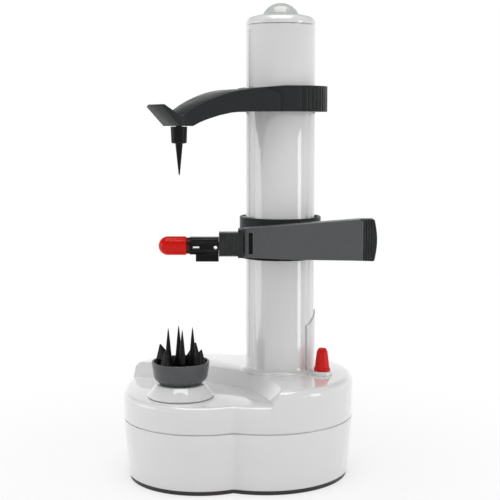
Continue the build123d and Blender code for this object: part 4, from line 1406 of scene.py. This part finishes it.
@dataclass
class ThumbKnife:
    """White socket on the deck and the red cone that stands in it."""

    at: Point = KNIFE_AT
    collar_side: tuple = ((3.4, 50.0), (4.95, 50.0), (4.95, 64.5), (7.0, 64.5), (6.4, 66.9), (3.4, 66.9))
    collar_rounds: tuple = (0, 0, 0, 0.2, 0.5, 0.3)
    point: tuple = ((0, 51.0), (0.6, 51.0), (3.0, 58.0), (3.0, 67.1))
    cone_side: tuple = (
        (0, 67.1), (5.3, 67.1), (5.2, 68.6), (4.75, 69.2), (3.5, 79.3), (2.3, 81.6), (0, 81.6),
    )
    cone_rounds: tuple = (0, 0.3, 0.4, 0.4, 2.0, 1.4, 0)

    def build(self) -> None:
        """Make the socket and the knife."""
        collar = rounded(list(self.collar_side), list(self.collar_rounds), 4)
        lathe("knife_collar", self.at, collar, 72).smooth(30).place("root", "white_gloss", "knife_socket")
        cone = rounded(list(self.cone_side), list(self.cone_rounds), 6)
        grip = lathe("knife_cone", self.at, list(self.point) + cone[1:], 72)
        grip.smooth(35).place("thumb_knife", "red_plastic", "thumb_knife")


# ---------------------------------------------------------------- food cup
@dataclass
class FoodCup:
    """Turning cone, bowl, four spikes and four fins."""

    axis: Point = FOOD_AT
    cone_side: tuple = ((3.0, 55.7), (20.6, 55.7), (21.0, 56.6), (15.4, 63.5), (3.0, 63.5))
    cone_rounds: tuple = (0, 0.3, 0.5, 0.2, 0)
    cup_z: float = 63.5
    floor_z: float = 73.0
    rim_z: float = 77.6
    rim_r: float = 18.2
    rim_width: float = 1.5
    floor_in: float = 2.2
    bowl_low: tuple = ((12.6, 63.5), (16.6, 67.0))
    bowl_rounds: tuple = (0, 2.2, 4.5, 0.5, 0.5, 1.2, 0)
    shaft_r: float = 3.0
    shaft_z: Point = (60.0, 67.5)
    count: int = 4
    spike_r: float = 7.6
    spike_side: tuple = (
        (0, 72.5), (2.9, 72.5), (2.6, 76.2), (2.1, 80.0), (1.55, 85.5), (1.0, 91.5), (0.42, 96.6),
        (0.12, 98.4), (0, 98.6),
    )
    fin_tip: Point = (16.0, 86.6)
    fin_inner: Point = (7.6, 77.6)
    fin_foot: float = 72.4
    fin_outer: Point = (17.2, 77.0)
    fin_half_w: float = 3.0
    fin_half_rim: float = 2.7
    fin_half_top: float = 0.6
    fin_reach: Point = (5.0, 19.0)
    first_deg: float = 12.0

    def cone(self) -> None:
        """Pale cone under the bowl."""
        side = rounded(list(self.cone_side), list(self.cone_rounds), 4)
        cone = lathe("turning_cone", self.axis, side)
        cone.smooth(30).place("food_holder", "white_gloss", "turntable")

    def bowl(self) -> None:
        """Dark bowl with a thin rim."""
        r, rim, floor = self.rim_r, self.rim_z, self.floor_z
        side = [(0, self.cup_z), *self.bowl_low, (r, rim), (r - self.rim_width, rim)]
        side += [(r - self.floor_in, floor), (0, floor)]
        bowl = lathe("cup_bowl", self.axis, rounded(side, list(self.bowl_rounds), 6))
        bowl.cut(drill(self.axis, self.shaft_r, self.shaft_z))
        bowl.smooth(30).place("food_holder", "handle_grey", "food_cup")

    def spikes(self) -> None:
        """Tall spikes on a fluted foot."""
        spike = lathe("cup_spikes", (self.spike_r, 0), list(self.spike_side), 20)
        spike = ring_of(spike, "dark_spike", self.count, self.axis, self.first_deg, 90)
        spike.smooth(40).place("food_holder", "dark_spike")

    def fins(self) -> None:
        """Low fins with a steep outer edge and a ridge that falls inwards."""
        root, rim = self.fin_foot, self.rim_z
        side = [(self.fin_inner[0], root), (self.fin_outer[0], root), self.fin_outer]
        side += [self.fin_tip, self.fin_inner]
        wide, low, top, tip = self.fin_half_w, self.fin_half_rim, self.fin_half_top, self.fin_tip[1]
        fin = slab("cup_fins", side, (-wide, wide))
        ridge = [(-wide, root - 1), (wide, root - 1), (low, rim), (top, tip), (top, tip + 1)]
        ridge += [(-top, tip + 1), (-top, tip), (-low, rim)]
        fin.keep(loft("wedge", [[(x, y, level) for y, level in ridge] for x in self.fin_reach]))
        fin.soften(0.25, 2, 25)
        fin = ring_of(fin, "dark_spike", self.count, self.axis, self.first_deg + 45, 90)
        fin.smooth(30).place("food_holder", "dark_spike")

    def build(self) -> None:
        """Make the cup."""
        self.cone()
        self.bowl()
        self.spikes()
        self.fins()


# ---------------------------------------------------------------- blade arm
@dataclass
class BladeArm:
    """Collar, long handle and ribbed neck that swing about the tower."""

    tower: Point = TOWER_AT
    left: float = 3.2
    ribs_x: float = 75.2
    right: float = 83.9
    bulge: float = 1.68
    sag: float = 1.08
    low_left: float = 142.6
    high_left: float = 160.4
    low_right: float = 140.0
    high_right: float = 166.0
    front: float = -29.0
    back: float = -18.0
    skin: Point = (2.2, 2.4)
    clear_r: float = 26.6
    clear_z: Point = (120.0, 180.0)
    ribs: int = 5
    rib_pitch: float = 1.6
    rib_width: float = 0.7
    rib_depth: float = 0.9
    rib_z: Point = (137.0, 169.0)
    painted_shade_from: float = 0.8
    window_x: Point = (6.2, 9.0)
    window_z: Point = (144.3, 157.9)
    window_deep: float = 4.0
    window_round: float = 0.3
    side_x: Point = (0.0, 6.0)
    side_z: Point = (144.6, 157.4)
    shade_plate_y: Point = (1.7, 2.35)
    shade_plate_gap: float = 0.05
    steps: int = 12

    def outline(self, inset: float) -> list[Point]:
        """Front outline of the handle, as x and z."""
        x0, x1 = self.left + inset, self.right - inset
        low0, low1 = self.low_left + inset, self.low_right + inset
        high0, high1 = self.high_left - inset, self.high_right - inset
        bottom, tip = [], []
        for k in range(self.steps + 1):
            t = k / self.steps
            dip = self.sag * math.sin(math.pi * t) * (1 - t)
            bottom.append((x0 + (x1 - x0) * t, low0 + (low1 - low0) * t - dip))
        for k in range(1, self.steps):
            t = k / self.steps
            tip.append((x1 + self.bulge * math.sin(math.pi * t), low1 + (high1 - low1) * t))
        return bottom + tip + [(x1, high1), (self.ribs_x, high1), (x0, high0)]

    def handle(self) -> None:
        """Open-backed shell with a window and a ribbed thumb end, whose faces take a darker grey as painted
        shade of the ribs.
        """
        front, inner, back = self.front, self.front + self.skin[1], self.back + 1
        shell = slab("handle_shell", self.outline(0), (front, self.back))
        shell.soften(0.9, 3, 50)
        shell.cut(slab("room", self.outline(self.skin[0]), (inner, back)))
        shell.cut(drill(self.tower, self.clear_r, self.clear_z, 96))
        first = self.ribs_x + self.rib_pitch
        across, deep = (first, first + self.rib_width), (front - 1, front + self.rib_depth)
        groove = block("rib_cut", across, deep, self.rib_z)
        shell.cut(row_of(groove, "handle_grey", self.ribs, (self.rib_pitch, 0, 0)))
        window = box_outline(self.window_x, self.window_z, self.window_round)
        shell.cut(slab("window", window, (front - 1, front + self.window_deep)))
        shell.cut(slab("side", box_outline(self.side_x, self.side_z), (inner, back)))
        shell.smooth(32).place("peeler_arm", "handle_grey", "arm_handle")
        # Painted shade: the ribbed thumb end takes the darker arm grey in place of the shade between its
        # ribs.
        shell.obj.data.materials.append(Finishes.get("arm_grey"))
        for face in shell.obj.data.polygons:
            if face.center.x > (self.ribs_x + self.painted_shade_from) * MM:
                face.material_index = 1

    def recess(self) -> None:
        """Black plate in the handle's window: painted shade standing in for the shadow deep inside the
        window.
        """
        gap, (near, far) = self.shade_plate_gap, self.shade_plate_y
        (left, right), (low, high) = self.window_x, self.window_z
        inside = box_outline((left + gap, right - gap), (low + gap, high - gap))
        plate = slab("window_recess", inside, (self.front + near, self.front + far))
        plate.place("peeler_arm", "black_plastic")

    def build(self) -> None:
        """Make the arm."""
        self.handle()
        # A black plate painted in as the shadow inside the window.
        self.recess()
        soft_copy("arm_collar", "collar_ring", 0.35, 2, "peeler_arm", "arm_grey")
        soft_copy("blade_neck", "neck_core", 0.12, 1, "peeler_arm", "arm_grey")


@dataclass
class BladeHead:
    """Black holder, steel blade and red nose that roll with the food."""

    tip_at: tuple[float, float, float] = (-49.1, -28.7, 149.8)
    nose_r: float = 5.8
    nose_l: float = 17.2
    nose_step: float = 0.5
    neck_r: float = 5.1
    neck_gap: float = 0.01
    neck_end: float = 19.3

    def guard(self) -> None:
        """Clear red nose, a bullet laid along the arm, and its neck over the black holder."""
        r, end, step = self.nose_r, self.nose_l, self.nose_step
        turns = [math.radians(9 * k) for k in range(11)]
        nose = [(r * math.sin(a), r - r * math.cos(a)) for a in turns]
        nose += [(r, end - step), (r - step, end), (0, end)]
        start, stop = end + self.neck_gap, self.neck_end
        neck = [(0, start), (self.neck_r, start), (self.neck_r, stop), (0, stop)]
        for name, side, finish, nodes in (
            ("guard_nose", nose, "red_translucent", ("tip_guard",)),
            ("guard_neck", neck, "red_over_black", ()),
        ):
            piece = lay_down(lathe(name, (0, 0), side, 72), self.tip_at, "Y")
            piece.smooth(35).place("blade_head", "red_translucent", *nodes, finish=finish)

    def build(self) -> None:
        """Make the head."""
        self.guard()
        soft_copy("blade_holder", "holder_body", 0.25, 2, "blade_head", "black_plastic")
        soft_copy("peeling_blade", "blade_plate", 0.1, 1, "blade_head", "steel")


# ---------------------------------------------------------------- upper arm
@dataclass
class UpperArm:
    """Ring on the tower, arched arm, thumb tab, release pad and upper spike."""

    tower: Point = TOWER_AT
    food: Point = FOOD_AT
    angle_deg: float = ARM_TURN
    gap: float = AXIS_GAP
    ring_r: float = 27.5
    ring_inner: float = 18.0
    bore_r: float = 22.26
    boss_r: float = 10.5
    low_z: float = 232.0
    high_z: float = 248.0
    panel_end: float = 25.8
    panel_over: float = 60.0
    half_width: float = 40.0
    past_end: Point = (2.0, 20.0)
    plan_z: Point = (200.0, 260.0)
    back_of_arm: tuple = (
        (0, 242.0), (16.6, 242.8), (19.7, 244.1), (22.9, 245.2), (26, 246.0), (30, 246.1), (35.4, 245.6),
        (42.3, 244.5), (47.3, 243.3), (52.2, 241.8), (57.1, 240.1), (62, 238.2), (66.8, 235.9),
        (72.4, 232.8), (77.6, 228.8),
    )
    tab: tuple = ((89.3, 236.0), (90.6, 234.6), (79.2, 223.0), (70.5, 223.0))
    belly: tuple = (
        (66.2, 225.3), (61.9, 227.0), (54.5, 229.4), (46.8, 231.1), (38.5, 231.8), (30, 232.0), (0, 232.0),
    )
    ring_slope: tuple = ((30, 246.1), (22, 247.0), (12, 248.0), (8, 249.0))
    pocket_x: Point = (5.0, 40.0)
    pocket_y: Point = (-19.0, 19.0)
    pocket_z: Point = (228.0, 252.0)
    pocket_core: float = 24.9
    pocket_deg: float = -20.0
    socket_r: float = 2.06
    socket_z: Point = (220.0, 226.5)
    tall: Point = (220.0, 260.0)
    spike_side: tuple = (
        (0, 192.9), (0.15, 193.0), (0.45, 194.0), (2.3, 212.2), (4.4, 212.6), (4.75, 213.0), (5.1, 222.4),
        (4.9, 222.7), (2.0, 222.7), (2.0, 226.2), (0, 226.2),
    )

    def plan(self) -> list[Point]:
        """Tangent outline from the ring to the end, drawn along +X."""
        ring, boss, end = self.ring_r, self.boss_r, self.gap
        lean = math.acos((ring - boss) / end)
        turns = [lean + (2 * math.pi - 2 * lean) * k / 24 for k in range(25)]
        corners = [(ring * math.cos(a), ring * math.sin(a)) for a in turns]
        near, side = end + boss * math.cos(lean), boss * math.sin(lean)
        low, far = end + self.past_end[0], end + self.past_end[1]
        corners += [(near, -side), (low, -boss), (far, -boss)]
        return corners + [(far, boss), (low, boss), (near, side)]

    def arm(self) -> None:
        """Ring and arched arm in one."""
        low, high, wide = self.low_z, self.high_z, (-self.half_width, self.half_width)
        body = slab("upper_arm_body", [*self.back_of_arm, *self.tab, *self.belly], wide)
        body.keep(prism("plan", self.plan(), self.plan_z))
        turn_about(body, self.tower, self.angle_deg)
        behind = (-self.half_width, self.tower[1])
        beside = block("beside", (self.panel_end, self.panel_over), behind, (low - 1, high + 1))
        body.cut(beside.cut(drill(self.tower, self.ring_r - 1, self.tall, 128)))
        band = pipe(self.tower, (self.ring_inner, self.ring_r), (low, high))
        sloped = [(-30, low - 1), (30, low - 1), *self.ring_slope, (-30, high + 1)]
        band.keep(turn_about(slab("slope", sloped, wide), self.tower, self.angle_deg))
        body.fuse(band).soften(0.9, 3, 24)
        body.cut(drill(self.tower, self.bore_r, self.tall, 128))
        pocket = block("pocket", self.pocket_x, self.pocket_y, self.pocket_z)
        pocket.cut(drill((0, 0), self.pocket_core, (self.pocket_z[0] - 2, self.pocket_z[1] + 2), 96))
        body.cut(turn_about(pocket, self.tower, self.pocket_deg))
        body.cut(drill(self.food, self.socket_r, self.socket_z, 32))
        body.smooth(30).place("upper_arm", "arm_grey", "upper_arm")

    def spike(self) -> None:
        """Spike and hub that turn in the arm's end."""
        needle = lathe("needle", self.food, list(self.spike_side), 48)
        needle.smooth(35).place("upper_spike", "dark_spike", "upper_spike")

    def build(self) -> None:
        """Make the upper arm."""
        self.arm()
        self.spike()
        soft_copy("release_pad", "pad_body", 0.12, 2, "release_pad", "arm_grey")


# ---------------------------------------------------------------- fasteners, feet and lead screw
@dataclass
class Underside:
    """Screws with a cross recess and grooved feet, each group set out by one tree."""

    screws: tuple = (
        (-64.673, -17.372), (-14.009, -50.273), (-31.172, 50.873), (-63.893, 20.889),
        (33.488, -47.275), (64.803, -9.287), (48.075, 38.853), (1.913, 47.826),
    )
    feet: tuple = ((-50.0, -30.0), (-50.0, 30.0), (12.0, -45.0), (28.0, 43.0))
    head_z: Point = (0.3, 2.0)
    head_r: float = 2.7
    shank_r: float = 1.3
    shank_top: float = 47.3
    screw_rounds: tuple = (0, 0.5, 0.1, 0, 0.3, 0)
    recess: Point = (0.4, 1.7)
    screw_turn: float = 37.0
    foot_side: tuple = (
        (0, 0), (1.6, 0), (1.8, 0.3), (2.4, 0.3), (2.6, 0), (3.8, 0), (4.0, 0.3), (4.6, 0.3), (4.8, 0),
        (5.6, 0), (5.9, 0.3), (5.9, 1.4), (0, 1.4),
    )

    def fasteners(self) -> None:
        """Eight pan-head screws."""
        (low, high), head, shank, top = self.head_z, self.head_r, self.shank_r, self.shank_top
        side = [(0, low), (head, low), (head, high), (shank, high), (shank, top), (0, top)]
        one = lathe("one_screw", (0, 0), rounded(side, list(self.screw_rounds), 3), 32)
        half_w, half_l = self.recess
        for x, y in ((half_w, half_l), (half_l, half_w)):
            one.cut(block("slot", (-x, x), (-y, y), (low - 1, low + 1)))
        group = on_spots("screw_group", one, "zinc", list(self.screws), self.screw_turn)
        group.smooth(35).place("root", "zinc", "base_screws")

    def pads(self) -> None:
        """Four rubber feet with two grooves turned in each."""
        one = lathe("one_foot", (0, 0), list(self.foot_side), 48)
        group = on_spots("foot_group", one, "rubber_pad", list(self.feet))
        group.smooth(35).place("root", "rubber_pad", "foot_pads")

    def build(self) -> None:
        """Make the screws and feet."""
        self.fasteners()
        self.pads()


@dataclass
class LeadScrew:
    """Core of the lead screw and the round thread that runs up it."""

    axis: Point = TOWER_AT
    end_r: float = 2.5
    core_r: float = 3.2
    ridge_r: float = 0.79
    ends: Point = (32.0, 268.0)
    thread: Point = (38.0, 260.0)
    lead: float = 4.0
    steps: int = 20

    def build(self) -> None:
        """Make the core and its left-hand thread."""
        (foot, head), (low, high), end, core = self.ends, self.thread, self.end_r, self.core_r
        side = [(0, foot), (end, foot), (end, low), (core, low), (core, high), (end, high), (end, head)]
        rod = lathe("screw_core", self.axis, side + [(0, head)], 48)
        rod.smooth(35).place("screw", "steel", "lead_screw")
        run = high - low - 2 * self.ridge_r
        thread = run_tree(Form("screw_thread", [(0, 0, 0)], []), helix_tree(), {
            "Radius": core * MM,
            "Ridge": self.ridge_r * MM,
            "Height": run * MM,
            "Turns": run / self.lead,
            "Steps": self.steps,
            "Foot": Vector((*self.axis, low + self.ridge_r)) * MM,
            "Finish": Finishes.get("steel"),
        })
        thread.mend().smooth(50).place("screw", "steel")


# ---------------------------------------------------------------- carried-over construction
def dress_construction() -> None:
    """Give every construction piece the finish of its slot."""
    slots = {part["node"]: part["material_slot"] for part in frame["record"]["subparts"]}
    for name, obj in frame["nodes"].items():
        for slot in obj.material_slots:
            slot.material = Finishes.get(slots[name])


def main() -> None:
    """Build the studio and every sub-assembly."""
    logging.basicConfig(level=logging.INFO, format="%(name)s: %(message)s")
    bpy.context.scene.view_settings.view_transform = "Standard"
    Studio().build()
    for kind in (Base, Tower, ThumbKnife, FoodCup, BladeArm, BladeHead, UpperArm, Underside, LeadScrew):
        kind().build()
        LOG.info("%s done", kind.__name__)
    dress_construction()


if __name__ == "__main__":
    main()
